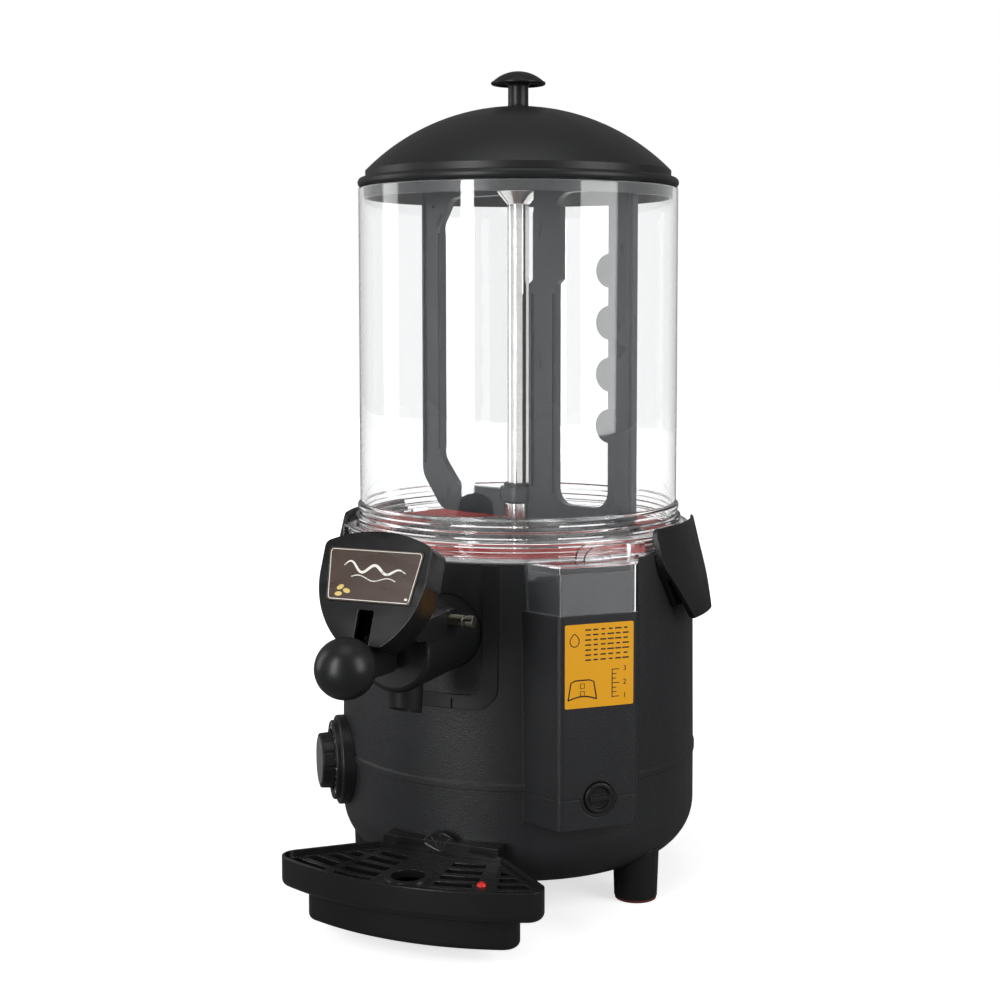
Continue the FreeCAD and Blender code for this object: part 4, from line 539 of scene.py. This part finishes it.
def makeBowl(s):
    inner = s["radius"] - s["wall"]
    flange = s["flange"]
    skirt = s["flangeRadius"] - s["skirtWall"]
    ledge = flange - s["skirtWall"]
    corners = [(inner, s["foot"] + 0.3), (s["step"], s["foot"] + 0.3), (s["step"], ledge),
               (skirt, ledge, 0.8), (skirt, s["deck"]), (s["flangeRadius"], s["deck"], 0.6)]
    for i in range(s["ridges"]):  # shallow grooves round the skirt
        z = s["deck"] + 1.6 + i * s["ridgePitch"]
        corners += [(s["flangeRadius"], z, 0.3), (s["flangeRadius"] - s["ridgeDepth"], z + 0.8, 0.4),
                    (s["flangeRadius"] - s["ridgeDepth"], z + 1.6, 0.4), (s["flangeRadius"], z + 2.4, 0.3)]
    corners += [(s["flangeRadius"], flange, 1.5), (s["neck"], flange, 0.4), (s["neck"], flange + 1.5, 0.4),
                (s["step"], flange + 2.5, 0.5), (s["step"], flange + 5.5, 0.5),
                (s["waist"], flange + 6.5, 0.6), (s["waist"], s["ring"] - 2.5, 0.6), (s["bead"], s["ring"] - 1.5, 0.7),
                (s["bead"], s["ring"] + 1.5, 0.7), (s["radius"], s["ring"] + 3, 1.2),
                (s["radius"], s["top"], 0.8), (inner, s["top"], 0.8)]
    body = latheMesh("clearBowl", heldLine(roundedLine(corners, 4)), s["turns"])
    lugs = []
    half = s["lugHalf"] * mm
    for angle in s["lugAngles"]:
        lug = boxMesh("lug", (-half, -s["lugTo"] * mm, s["deck"] * mm),
                      (half, -s["lugFrom"] * mm, (flange - 3) * mm), 0.0008)
        lug.transform(Matrix.Translation((0, axisY, 0)) @ Matrix.Rotation(math.radians(angle), 4, "Z"))
        lugs.append(lug)
    return joinedMesh("clearBowl", [body] + lugs)


clearBowl = linkPiece("clearBowl", makeBowl(bowlShape), finish["bowlClear"], "root")
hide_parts("bowl")

lidShape = {"apex": 554.4, "dome": 153.4, "baseRadius": 109.6, "bead": 115.1, "beadLow": 496.3,
            "beadHigh": 503.3, "skirt": 110.6, "skirtLow": 488.5, "wall": 2.4, "turns": 192,
            "domeSteps": 28}


def makeLid(s):
    centre = s["apex"] - s["dome"]
    skirtInner = s["skirt"] - s["wall"]
    innerRadius = s["dome"] - s["wall"]
    line = []
    for i in range(s["domeSteps"] + 1):
        r = s["baseRadius"] * math.sin(math.pi / 2 * i / s["domeSteps"])
        line.append((r, centre + math.sqrt(s["dome"] ** 2 - r ** 2)))
    line.append((s["baseRadius"], s["beadHigh"] - 1.8))
    line.append((s["baseRadius"] + 0.5, s["beadHigh"] - 0.7))
    line.append((s["baseRadius"] + 1.4, s["beadHigh"] - 0.2))
    beadMiddle = ((s["bead"] - 3.2), (s["beadLow"] + s["beadHigh"]) / 2)
    beadRadius = (s["beadHigh"] - s["beadLow"]) / 2
    for i in range(13):
        turn = math.radians(90 - 15 * i)
        line.append((beadMiddle[0] + 3.2 * math.cos(turn), beadMiddle[1] + beadRadius * math.sin(turn)))
    line += [(s["skirt"], s["beadLow"]), (s["skirt"], s["skirtLow"]), (skirtInner, s["skirtLow"]),
             (skirtInner, s["beadHigh"] - 2)]
    for i in range(s["domeSteps"], -1, -1):
        r = (skirtInner - 1) * i / s["domeSteps"]
        line.append((r, centre + math.sqrt(innerRadius ** 2 - r ** 2)))
    return latheMesh("lidDome", line, s["turns"], closed=False)


lidDome = linkPiece("lidDome", makeLid(lidShape), finish["lidDomeBlack"], "lid", 28)
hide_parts("lid")

knobShape = {"radius": 19.6, "stem": 7.3, "brim": 571.0, "top": 579.5, "foot": 553.6, "turns": 96}


def makeKnob(s):
    rimHigh = s["brim"] + 1.2
    line = [(0, s["foot"]), (s["stem"] + 0.8, s["foot"]), (s["stem"] + 0.2, s["foot"] + 1.2),
            (s["stem"], s["foot"] + 3), (s["stem"], s["brim"] - 2.6), (s["stem"] + 0.5, s["brim"] - 1.2)]
    for i in range(1, 8):
        share = i / 8
        r = s["stem"] + 0.5 + (s["radius"] - 1.7 - s["stem"]) * share
        line.append((r, s["brim"] - 1.2 + 2.2 * math.sin(math.pi * share)))
    for i in range(9):
        turn = math.radians(-90 + 22.5 * i)
        line.append((s["radius"] - 1.2 + 1.2 * math.cos(turn), s["brim"] + 1.2 * math.sin(turn)))
    height = s["top"] - rimHigh
    reach = s["radius"] - 1.2
    domeRadius = (reach ** 2 + height ** 2) / (2 * height)
    for i in range(1, 17):
        r = reach * math.cos(math.pi / 2 * i / 16)
        line.append((max(r, 0.0), s["top"] - domeRadius + math.sqrt(domeRadius ** 2 - r ** 2)))
    return latheMesh("lidKnobTop", line, s["turns"], closed=False)


lidKnobTop = linkPiece("lidKnobTop", makeKnob(knobShape), finish["satinBlack"], "lid", 40)
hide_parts("lid_knob")

ballLow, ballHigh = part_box("ball_knob")
ballShape = {"radius": 18.5, "turns": 96, "steps": 48}


def makeBall(s):
    line = []
    for i in range(s["steps"] + 1):
        turn = -math.pi / 2 + math.pi * i / s["steps"]
        line.append((max(s["radius"] * math.cos(turn), 0.0), s["radius"] * math.sin(turn)))
    middle = (ballLow + ballHigh) / 2
    return latheMesh("leverBall", line, s["turns"], closed=False, place=Matrix.Translation(middle))


leverBall = linkPiece("leverBall", makeBall(ballShape), finish["satinBlack"], "tap_lever", 60)
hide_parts("ball_knob")
print("bowl, lid, knob and ball turned")


# Carry handles: a wing that flares outwards from the bowl's flange, over a plate with two screws
handleShape = {"top": 263.0, "tip": 197.0, "tipReach": 142.4, "wall": 4.4, "seat": 127.4, "rim": 124.9,
               "plateReach": 130.7, "plateLow": 205.5, "hollowTop": 226.0, "halfWidth": 44.0, "tipHalf": 19.0,
               "sideLow": 236.0, "halfAngle": 24.0, "steps": 32,
               "slope": ((136.9, 221.0, 60), (131.8, 241.0, 40)), "rimLow": 249.5, "seatTop": 248.0}


def sectorMesh(name, line, halfAngle, steps):  # a closed section swung through part of a turn, with end caps
    bm = bmesh.new()
    rings = []
    for i in range(steps + 1):
        turn = math.radians(-halfAngle + 2 * halfAngle * i / steps)
        rings.append([bm.verts.new((r * mm * math.sin(turn), -r * mm * math.cos(turn), z * mm))
                      for r, z in line])
    count = len(line)
    for near, far in zip(rings, rings[1:]):
        for i in range(count):
            k = (i + 1) % count
            bm.faces.new((near[i], near[k], far[k], far[i]))
    bm.faces.new(rings[0][::-1])
    bm.faces.new(rings[-1])
    bmesh.ops.triangulate(bm, faces=[f for f in bm.faces if len(f.verts) > 4])
    return meshFrom(bm, name)


def makeHandle(name, s, side):
    section = [(s["seat"], s["plateLow"], 0.8), (s["plateReach"], s["plateLow"], 0.8),
               (s["plateReach"], s["hollowTop"], 1.0), (s["plateReach"] + 2.7, s["hollowTop"], 1.0),
               (s["tipReach"] - s["wall"], s["tip"] + 0.6, 1.2), (s["tipReach"], s["tip"], 1.8), *s["slope"],
               (s["rim"] + 2.3, s["top"] - 2.5, 2.2), (s["rim"], s["top"], 0.9), (s["rim"], s["rimLow"]),
               (s["seat"], s["seatTop"])]
    line = [tuple(spot) for spot in roundedLine(section, 5)]
    wing = sectorMesh("wing", line, s["halfAngle"], s["steps"])
    corners = [(-s["halfWidth"], s["top"] + 0.6, 8), (s["halfWidth"], s["top"] + 0.6, 8),
               (s["halfWidth"], s["sideLow"], 26),
               (s["tipHalf"], s["tip"] - 1.5, 13), (-s["tipHalf"], s["tip"] - 1.5, 13),
               (-s["halfWidth"], s["sideLow"], 26)]
    outlineSpots = [tuple(spot) for spot in roundedLine(corners, 8)]
    shield = flatSheet("shield", [outlineSpots], lambda u, v, lift: Vector((u, -(100 + lift), v)) * mm, 60)
    mesh = joinedMesh(name, [wing, shield], "INTERSECT")
    mesh.transform(Matrix.Translation((0, axisY, 0)) @ Matrix.Rotation(math.radians(90 * side), 4, "Z"))
    return mesh


for name, side, nodeName in (("rightHandleWing", 1, "right_handle"), ("leftHandleWing", -1, "left_handle")):
    wing = linkPiece(name, makeHandle(name, handleShape, side), finish["satinBlack"], "root", 30)
    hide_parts(nodeName)

print("handles made")


# Geometry node trees
def paintedInstances(tree, end, inputs, material):  # instances made real, with their material
    placed = node(tree, "GeometryNodeInstanceOnPoints", inputs)
    solid = node(tree, "GeometryNodeRealizeInstances", {0: placed.outputs[0]})
    painted = node(tree, "GeometryNodeSetMaterial", {"Geometry": solid.outputs[0], "Material": material})
    tree.links.new(painted.outputs[0], end.inputs[0])
    return tree


def makeInstanceTree(name, material):  # puts a small part at each point, turned to its "facing" vector
    tree, start, end = newGroup(name, "GeometryNodeTree",
                                {"Geometry": "NodeSocketGeometry", "Part": "NodeSocketObject", "Size": 1.0},
                                {"Geometry": "NodeSocketGeometry"})
    facing = node(tree, "GeometryNodeInputNamedAttribute", {"Name": "facing"}, data_type="FLOAT_VECTOR")
    turned = node(tree, "FunctionNodeAlignRotationToVector", {"Vector": facing.outputs[0]}, axis="Z")
    part = node(tree, "GeometryNodeObjectInfo", {"Object": start.outputs["Part"]})
    inputs = {"Points": start.outputs["Geometry"], "Instance": part.outputs["Geometry"],
              "Rotation": turned.outputs[0], "Scale": start.outputs["Size"]}
    return paintedInstances(tree, end, inputs, material)


def makeTickTree(name, material):  # ticks round an arc, in the plane of the tree
    tree, start, end = newGroup(name, "GeometryNodeTree",
                                {"Geometry": "NodeSocketGeometry", "Count": 11, "Radius": 0.025,
                                 "First": 0.0, "Step": 0.3, "Length": 0.003, "Width": 0.0005,
                                 "Thickness": 0.0002},
                                {"Geometry": "NodeSocketGeometry"})
    index = node(tree, "GeometryNodeInputIndex").outputs[0]
    angle = maths(tree, "ADD", maths(tree, "MULTIPLY", index, start.outputs["Step"]), start.outputs["First"])
    spoke = node(tree, "ShaderNodeCombineXYZ", {0: maths(tree, "COSINE", angle),
                                                1: maths(tree, "SINE", angle)})
    spot = node(tree, "ShaderNodeVectorMath", {0: spoke.outputs[0], "Scale": start.outputs["Radius"]},
                operation="SCALE")
    points = node(tree, "GeometryNodePoints", {"Count": start.outputs["Count"], "Position": spot.outputs[0]})
    turn = node(tree, "ShaderNodeCombineXYZ", {2: angle})
    rotation = node(tree, "FunctionNodeEulerToRotation", {0: turn.outputs[0]})
    size = node(tree, "ShaderNodeCombineXYZ", {0: start.outputs["Length"], 1: start.outputs["Width"],
                                               2: start.outputs["Thickness"]})
    bar = node(tree, "GeometryNodeMeshCube", {"Size": size.outputs[0]})
    return paintedInstances(tree, end, {"Points": points.outputs[0], "Instance": bar.outputs[0],
                                        "Rotation": rotation.outputs[0]}, material)


def makeRuleTree(name, material):  # rows of short printed bars of random lengths, like lines of small print
    tree, start, end = newGroup(name, "GeometryNodeTree",
                                {"Geometry": "NodeSocketGeometry", "Rows": 6, "Columns": 6,
                                 "Row pitch": 0.004, "Column pitch": 0.005, "Height": 0.0012,
                                 "Thickness": 0.0001, "Seed": 4},
                                {"Geometry": "NodeSocketGeometry"})
    index = node(tree, "GeometryNodeInputIndex").outputs[0]
    columns, pitch = start.outputs["Columns"], start.outputs["Column pitch"]
    row = maths(tree, "FLOOR", maths(tree, "DIVIDE", index, columns))
    x = maths(tree, "MULTIPLY", maths(tree, "MODULO", index, columns), pitch)
    y = maths(tree, "MULTIPLY", maths(tree, "MULTIPLY", row, start.outputs["Row pitch"]), -1.0)
    spot = node(tree, "ShaderNodeCombineXYZ", {0: x, 1: y})
    total = maths(tree, "MULTIPLY", start.outputs["Rows"], columns)
    points = node(tree, "GeometryNodePoints", {"Count": total, "Position": spot.outputs[0]})
    share = node(tree, "FunctionNodeRandomValue", {2: 0.45, 3: 0.92, "Seed": start.outputs["Seed"]},
                 data_type="FLOAT")
    scale = node(tree, "ShaderNodeCombineXYZ", {0: maths(tree, "MULTIPLY", share.outputs[1], pitch),
                                                1: start.outputs["Height"], 2: start.outputs["Thickness"]})
    bar = node(tree, "GeometryNodeMeshCube", {"Size": (1.0, 1.0, 1.0)})
    return paintedInstances(tree, end, {"Points": points.outputs[0], "Instance": bar.outputs[0],
                                        "Scale": scale.outputs[0]}, material)


def grown(name, tree, values, base=None):  # runs a tree and gives its result as a plain mesh
    carrier = looseObject(name, base or bpy.data.meshes.new(name))
    modifier = carrier.modifiers.new(name, "NODES")
    modifier.node_group = tree
    for item in tree.interface.items_tree:
        if item.item_type == "SOCKET" and item.in_out == "INPUT" and item.name in values:
            modifier[item.identifier] = values[item.name]
    mesh = evaluated(carrier)
    bpy.data.objects.remove(carrier)
    return mesh


def placedMesh(mesh, place):  # bends a flat result onto the plane of place(u, v, lift), in millimetres
    for vert in mesh.vertices:
        vert.co = place(vert.co.x / mm, vert.co.y / mm, vert.co.z / mm)
    return mesh


# Screws
screwShape = {"radius": 3.2, "height": 1.7, "slot": 0.9, "slotLength": 3.6, "slotDepth": 0.9}


def makeScrewHead(s):
    corners = [(0, -0.2), (s["radius"], -0.2), (s["radius"], s["height"], 1.1), (0, s["height"])]
    head = latheMesh("screwHead", roundedLine(corners, 4), 32, closed=False, place=Matrix())
    low = (s["height"] - s["slotDepth"]) * mm
    high = (s["height"] + 1) * mm
    half = s["slotLength"] / 2 * mm
    width = s["slot"] / 2 * mm
    first = boxMesh("slotA", (-half, -width, low), (half, width, high))
    second = boxMesh("slotB", (-width, -half, low), (width, half, high))
    return joinedMesh("screwHead", [head, first, second], "DIFFERENCE")


screwHead = looseObject("screwHeadMaster", makeScrewHead(screwShape))
screwTree = makeInstanceTree("screwSet", finish["fixingSteel"])


def screwSet(name, spots, facings, size):
    base = bpy.data.meshes.new(name)
    base.from_pydata(spots, [], [])
    facing = base.attributes.new("facing", "FLOAT_VECTOR", "POINT")
    facing.data.foreach_set("vector", [value for vector in facings for value in vector])
    return grown(name, screwTree, {"Part": screwHead, "Size": size}, base)


def islandCentres(nodeName):  # the middle of each loose solid of a CAD node
    bm = bmesh.new()
    bm.from_mesh(nodes[nodeName].data)
    bmesh.ops.remove_doubles(bm, verts=bm.verts, dist=1e-5)
    waiting = set(bm.verts)
    middles = []
    while waiting:
        stack = [waiting.pop()]
        island = []
        while stack:
            vert = stack.pop()
            island.append(vert.co.copy())
            for edge in vert.link_edges:
                other = edge.other_vert(vert)
                if other in waiting:
                    waiting.remove(other)
                    stack.append(other)
        lows = Vector([min(co[axis] for co in island) for axis in range(3)])
        highs = Vector([max(co[axis] for co in island) for axis in range(3)])
        middles.append((lows, highs))
    bm.free()
    return middles


handleSpots, handleFacings = [], []
for low, high in islandCentres("handle_screws"):
    middle = (low + high) / 2
    outward = 1 if middle.x > 0 else -1
    edge = high.x if outward > 0 else low.x
    handleSpots.append((edge - outward * 1.6 * mm, middle.y, middle.z))
    handleFacings.append((outward, 0, 0))
handleHeads = screwSet("handleScrewHeads", handleSpots, handleFacings, 1.0)
handleScrewHeads = linkPiece("handleScrewHeads", handleHeads, finish["fixingSteel"], "root", 30)
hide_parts("handle_screws")
bottomSpots = [((low.x + high.x) / 2, (low.y + high.y) / 2, high.z)
               for low, high in islandCentres("bottom_screws")]
bottomHeads = screwSet("bottomScrewHeads", bottomSpots, [(0, 0, -1)] * len(bottomSpots), 1.08)
bottomScrewHeads = linkPiece("bottomScrewHeads", bottomHeads, finish["fixingSteel"], "root", 30)
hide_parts("bottom_screws")
bpy.data.objects.remove(screwHead)
print("screws set:", len(handleSpots) + len(bottomSpots))


# Print on the hood's plate: a plain border, a wave and three beans
plateLow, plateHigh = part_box("name_plate")
plateShape = {"tilt": 23.5, "length": 33.0, "topHalf": 32.0, "bottomHalf": 28.0, "lift": 0.03, "ink": 0.12,
              "borderInset": 1.0, "borderWidth": 0.45}
plateTilt = math.radians(plateShape["tilt"])
plateDown = Vector((0, -math.sin(plateTilt), -math.cos(plateTilt)))
plateOut = Vector((0, -math.cos(plateTilt), math.sin(plateTilt)))
plateTop = Vector((0, plateLow.y + plateShape["length"] * mm * math.sin(plateTilt), plateHigh.z))


def onPlate(u, v, lift):  # u to the right, v up from the plate's middle
    down = plateShape["length"] / 2 - v
    away = plateOut * (lift + plateShape["lift"]) * mm
    return plateTop + Vector((u * mm, 0, 0)) + plateDown * down * mm + away


def platePrint(s):
    half = s["length"] / 2 - s["borderInset"]
    top = s["topHalf"] - s["borderInset"]
    bottom = s["bottomHalf"] - s["borderInset"]
    corners = [(-bottom, -half, 2), (bottom, -half, 2), (top, half, 2), (-top, half, 2)]
    loop = [tuple(spot) for spot in roundedLine(corners, 4)]
    border = ribbon(loop + [loop[0]], [s["borderWidth"]] * (len(loop) + 1))
    wave = []
    widths = []
    for i in range(61):
        share = i / 60
        wave.append((-20 + 42 * share,
                     5.5 + 3.4 * math.sin(share * 5 * math.pi) * (1 - 0.55 * share) - 3 * share))
        widths.append(0.5 + 1.3 * math.sin(math.pi * share) ** 0.7)
    under = [(-14 + 30 * i / 40, -1.2 + 1.3 * math.sin(i / 40 * 3 * math.pi) - 1.5 * i / 40)
             for i in range(41)]
    creamShapes = border + ribbon(wave, widths) + ribbon(under, [0.6] * 41)
    beans = []
    for u, v, turn in ((-20.0, -8.2, 0.5), (-15.4, -10.2, -0.2), (-20.6, -12.4, 0.1)):
        bean = []
        for k in range(20):
            angle = 2 * math.pi * k / 20
            x, y = 2.5 * math.cos(angle), 1.4 * math.sin(angle)
            bean.append((u + x * math.cos(turn) - y * math.sin(turn),
                         v + x * math.sin(turn) + y * math.cos(turn)))
        beans.append(bean)
    stud = [(25.2 + 1.0 * math.cos(k * math.pi / 6), -13.2 + 0.8 * math.sin(k * math.pi / 6))
            for k in range(12)]
    return creamShapes, beans, [stud]


creamShapes, beanShapes, studShape = platePrint(plateShape)
platePieces = [("plateLines", creamShapes, "cream", 0.1), ("plateBeans", beanShapes, "gold", 0.12),
               ("plateStud", studShape, "cream", 0.6)]
for name, shapes, colour, thickness in platePieces:
    printed = linkPiece(name, flatSheet(name, shapes, onPlate, thickness), finish[colour], "root")

# Sticker on the filler box, with a level scale and plain rules
boxAngle = math.radians(43.0)
stickerShape = {"face": 150.5, "low": 153.0, "high": 208.0, "width": 48.4, "lift": 0.05, "thickness": 0.15}


def onBoxFace(u, v, lift):  # u to the right along the face, v up from the sticker's middle
    reach = (stickerShape["face"] + stickerShape["lift"] + lift) * mm
    middle = (stickerShape["low"] + stickerShape["high"]) / 2
    return Vector((reach * math.sin(boxAngle) + u * mm * math.cos(boxAngle),
                   axisY - reach * math.cos(boxAngle) + u * mm * math.sin(boxAngle), (middle + v) * mm))


stickerHeight = stickerShape["high"] - stickerShape["low"]
stickerSheet = flatSheet("levelSticker", [roundedRect(stickerShape["width"], stickerHeight, 1.2)], onBoxFace,
                         stickerShape["thickness"])
levelSticker = linkPiece("levelSticker", stickerSheet, finish["sticker"], "root")


def onSticker(u, v, lift):
    return onBoxFace(u, v, lift + stickerShape["thickness"] + 0.02)


inkTree = makeRuleTree("printedRules", finish["ink"])
rules = grown("rules", inkTree, {"Rows": 7, "Columns": 6, "Row pitch": 3.3 * mm, "Column pitch": 5.3 * mm,
                                 "Height": 1.0 * mm, "Thickness": 0.05 * mm, "Seed": 7})
rules = placedMesh(rules, lambda u, v, lift: onSticker(u - 8.0, v + 23.6, lift))
dropLine = []
for k in range(33):
    turn = -math.pi / 2 + 2 * math.pi * k / 32
    pinch = 1 - 0.55 * max(0.0, math.sin(turn)) ** 2
    dropLine.append((-17.5 + 3.2 * math.cos(turn) * pinch,
                     16.6 + 3.6 * math.sin(turn) + 1.2 * max(0, math.sin(turn))))
tankLine = [(-22, -22), (-20, -10.5), (-17, -9.2), (-7, -9.2), (-4, -10.5), (-2, -22)]
tankBase = [(-22 + 2 * k, -22 + 2.2 * math.sin(math.pi * k / 10)) for k in range(11)]
scaleLine = [(9, -22), (9, -3)]
drawing = ribbon(dropLine, [0.6] * 33) + ribbon(tankLine, [0.9] * 6) + ribbon(tankBase, [0.9] * 11)
drawing += ribbon(scaleLine, [0.6, 0.6])
for k in range(7):
    reach = 5.0 if k % 3 == 0 else 3.0
    drawing += ribbon([(9, -21.5 + 3 * k), (9 + reach, -21.5 + 3 * k)], [0.55, 0.55])
for low in (-19.5, -14.5):
    square = [(-13.4, low), (-10.6, low), (-10.6, low + 3), (-13.4, low + 3), (-13.4, low)]
    drawing += ribbon(square, [0.5] * 5)
digits = [textMesh("digit%d" % k, str(k + 1), 5.0,
                   lambda u, v, lift, k=k: onSticker(u + 18, v - 21.3 + 9 * k, lift), 0.05)
          for k in range(3)]
inkMesh = mergedMesh("stickerPrint", [rules, flatSheet("drawing", drawing, onSticker, 0.05)] + digits)
stickerPrint = linkPiece("stickerPrint", inkMesh, finish["ink"], "root")
print("plate and sticker printed")

# Scale round the temperature knob
dialAngle = math.radians(-54.0)
dialShape = {"reach": 137.65, "z": 87.5, "radius": 25.0, "first": 225.0, "sweep": 270.0, "ticks": 19}
dialOut = Vector((math.sin(dialAngle), -math.cos(dialAngle), 0))
dialSide = Vector((math.cos(dialAngle), math.sin(dialAngle), 0))


def onDial(u, v, lift):
    middle = Vector((0, axisY, dialShape["z"] * mm)) + dialOut * (dialShape["reach"] + lift) * mm
    return middle + dialSide * u * mm + Vector((0, 0, v * mm))


tickTree = makeTickTree("dialTicks", finish["cream"])
tickStep = -math.radians(dialShape["sweep"]) / (dialShape["ticks"] - 1)
ticks = grown("ticks", tickTree, {"Count": dialShape["ticks"], "Radius": 23.2 * mm,
                                  "First": math.radians(dialShape["first"]), "Step": tickStep,
                                  "Length": 1.3 * mm, "Width": 0.35 * mm, "Thickness": 0.08 * mm})
dialMeshes = [placedMesh(ticks, onDial)]
for k, words in enumerate(("0", "30", "45", "60", "75", "90", "110")):
    turn = math.radians(dialShape["first"] - dialShape["sweep"] * k / 6)
    u, v = 25.8 * math.cos(turn), 25.8 * math.sin(turn)
    dialMeshes.append(textMesh("dialDigit%d" % k, words, 2.4,
                               lambda x, y, lift, u=u, v=v: onDial(x + u, y + v, lift), 0.06))
dialScale = linkPiece("dialScale", mergedMesh("dialScale", dialMeshes), finish["cream"], "root")
print("dial scale made")

# Floor, light and camera
studio = {"floorSeen": (0.86, 0.86, 0.86), "floorPale": (0.88, 0.88, 0.88),
          "floorOther": (0.22, 0.22, 0.22), "floorGlow": 0.68, "farGlow": 1.0, "glowStart": 0.3,
          "glowEnd": 0.8, "floorSize": 8.0, "surround": 0.2, "background": 1.0}


def seenShare(tree):  # one for what the eye sees, straight on or through the clear bowl
    rays = node(tree, "ShaderNodeLightPath")
    return maths(tree, "MAXIMUM", rays.outputs["Is Camera Ray"], rays.outputs["Is Transmission Ray"])


floorMaterial, floorTree, floorShader = newMaterial("paleFloor")
floorCoords = objectCoords(floorTree)
floorPale = colourMix(floorTree, noiseOf(floorTree, floorCoords, 3.0, 2.0), (*studio["floorSeen"], 1),
                      (*studio["floorPale"], 1))
floorShare = seenShare(floorTree)
floorTree.links.new(colourMix(floorTree, floorShare, (*studio["floorOther"], 1), floorPale),
                    floorShader.inputs["Base Color"])
floorTree.links.new(colourMix(floorTree, floorShare, (0, 0, 0, 1), (1, 1, 1, 1)),
                    floorShader.inputs["Emission Color"])
away = node(floorTree, "ShaderNodeVectorMath", {0: floorCoords}, operation="LENGTH").outputs["Value"]
glow = ranged(floorTree, away, studio["glowStart"], studio["glowEnd"], studio["floorGlow"], studio["farGlow"])
floorTree.links.new(glow, floorShader.inputs["Emission Strength"])
floorShader.inputs["Roughness"].default_value = 0.8
half = studio["floorSize"] / 2
floorMesh = bpy.data.meshes.new("paleFloor")
floorMesh.from_pydata([(-half, -half, 0), (half, -half, 0), (half, half, 0), (-half, half, 0)], [],
                      [(0, 1, 2, 3)])
floorMesh.materials.append(floorMaterial)
floor = looseObject("paleFloor", floorMesh)
floor.location.z = -0.0002

world = bpy.data.worlds.new("studio")
bpy.context.scene.world = world
world.use_nodes = True
world.node_tree.nodes.clear()
strength = node(world.node_tree, "ShaderNodeMix", {0: seenShare(world.node_tree), 2: studio["surround"],
                                                   3: studio["background"]})
sky = node(world.node_tree, "ShaderNodeBackground", {"Color": (1, 1, 1, 1), "Strength": strength.outputs[0]})
node(world.node_tree, "ShaderNodeOutputWorld", {"Surface": sky.outputs[0]})

aim = Vector((0, axisY, 0.3))
softLights = [
    {"name": "tallStrip", "azimuth": -12, "height": 0.5, "distance": 1.5, "size": (0.24, 1.5), "power": 17},
    {"name": "rightPanel", "azimuth": 80, "height": 0.8, "distance": 1.7, "size": (0.9, 1.3), "power": 15},
    {"name": "leftPanel", "azimuth": -78, "height": 0.7, "distance": 1.7, "size": (0.5, 1.3), "power": 6},
    {"name": "topPanel", "azimuth": 20, "height": 2.0, "distance": 0.4, "size": (1.1, 1.1), "power": 5},
]
for settings in softLights:
    lamp = bpy.data.lights.new(settings["name"], "AREA")
    lamp.shape = "RECTANGLE"
    lamp.size, lamp.size_y = settings["size"]
    lamp.energy = settings["power"]
    holder = looseObject(settings["name"], lamp)
    turn = math.radians(settings["azimuth"])
    holder.location = (settings["distance"] * math.sin(turn), axisY - settings["distance"] * math.cos(turn),
                       settings["height"])
    holder.rotation_euler = (aim - holder.location).to_track_quat("-Z", "Y").to_euler()

view = {"distance": 1.2297, "azimuth": 22.5, "eye": 0.422, "pitch": 4.30, "lens": 61.13,
        "shift": (-0.01825, -0.080)}
cameraData = bpy.data.cameras.new("photoCamera")
camera = looseObject("photoCamera", cameraData)
viewTurn = math.radians(view["azimuth"])
camera.location = (view["distance"] * math.sin(viewTurn), axisY - view["distance"] * math.cos(viewTurn),
                   view["eye"])
camera.rotation_euler = (math.radians(90 - view["pitch"]), 0, viewTurn)
cameraData.sensor_width = 36
cameraData.lens = view["lens"]
cameraData.shift_x, cameraData.shift_y = view["shift"]
cameraData.clip_start = 0.05
bpy.context.scene.camera = camera
bpy.context.scene.view_settings.view_transform = "Standard"
print("studio ready")
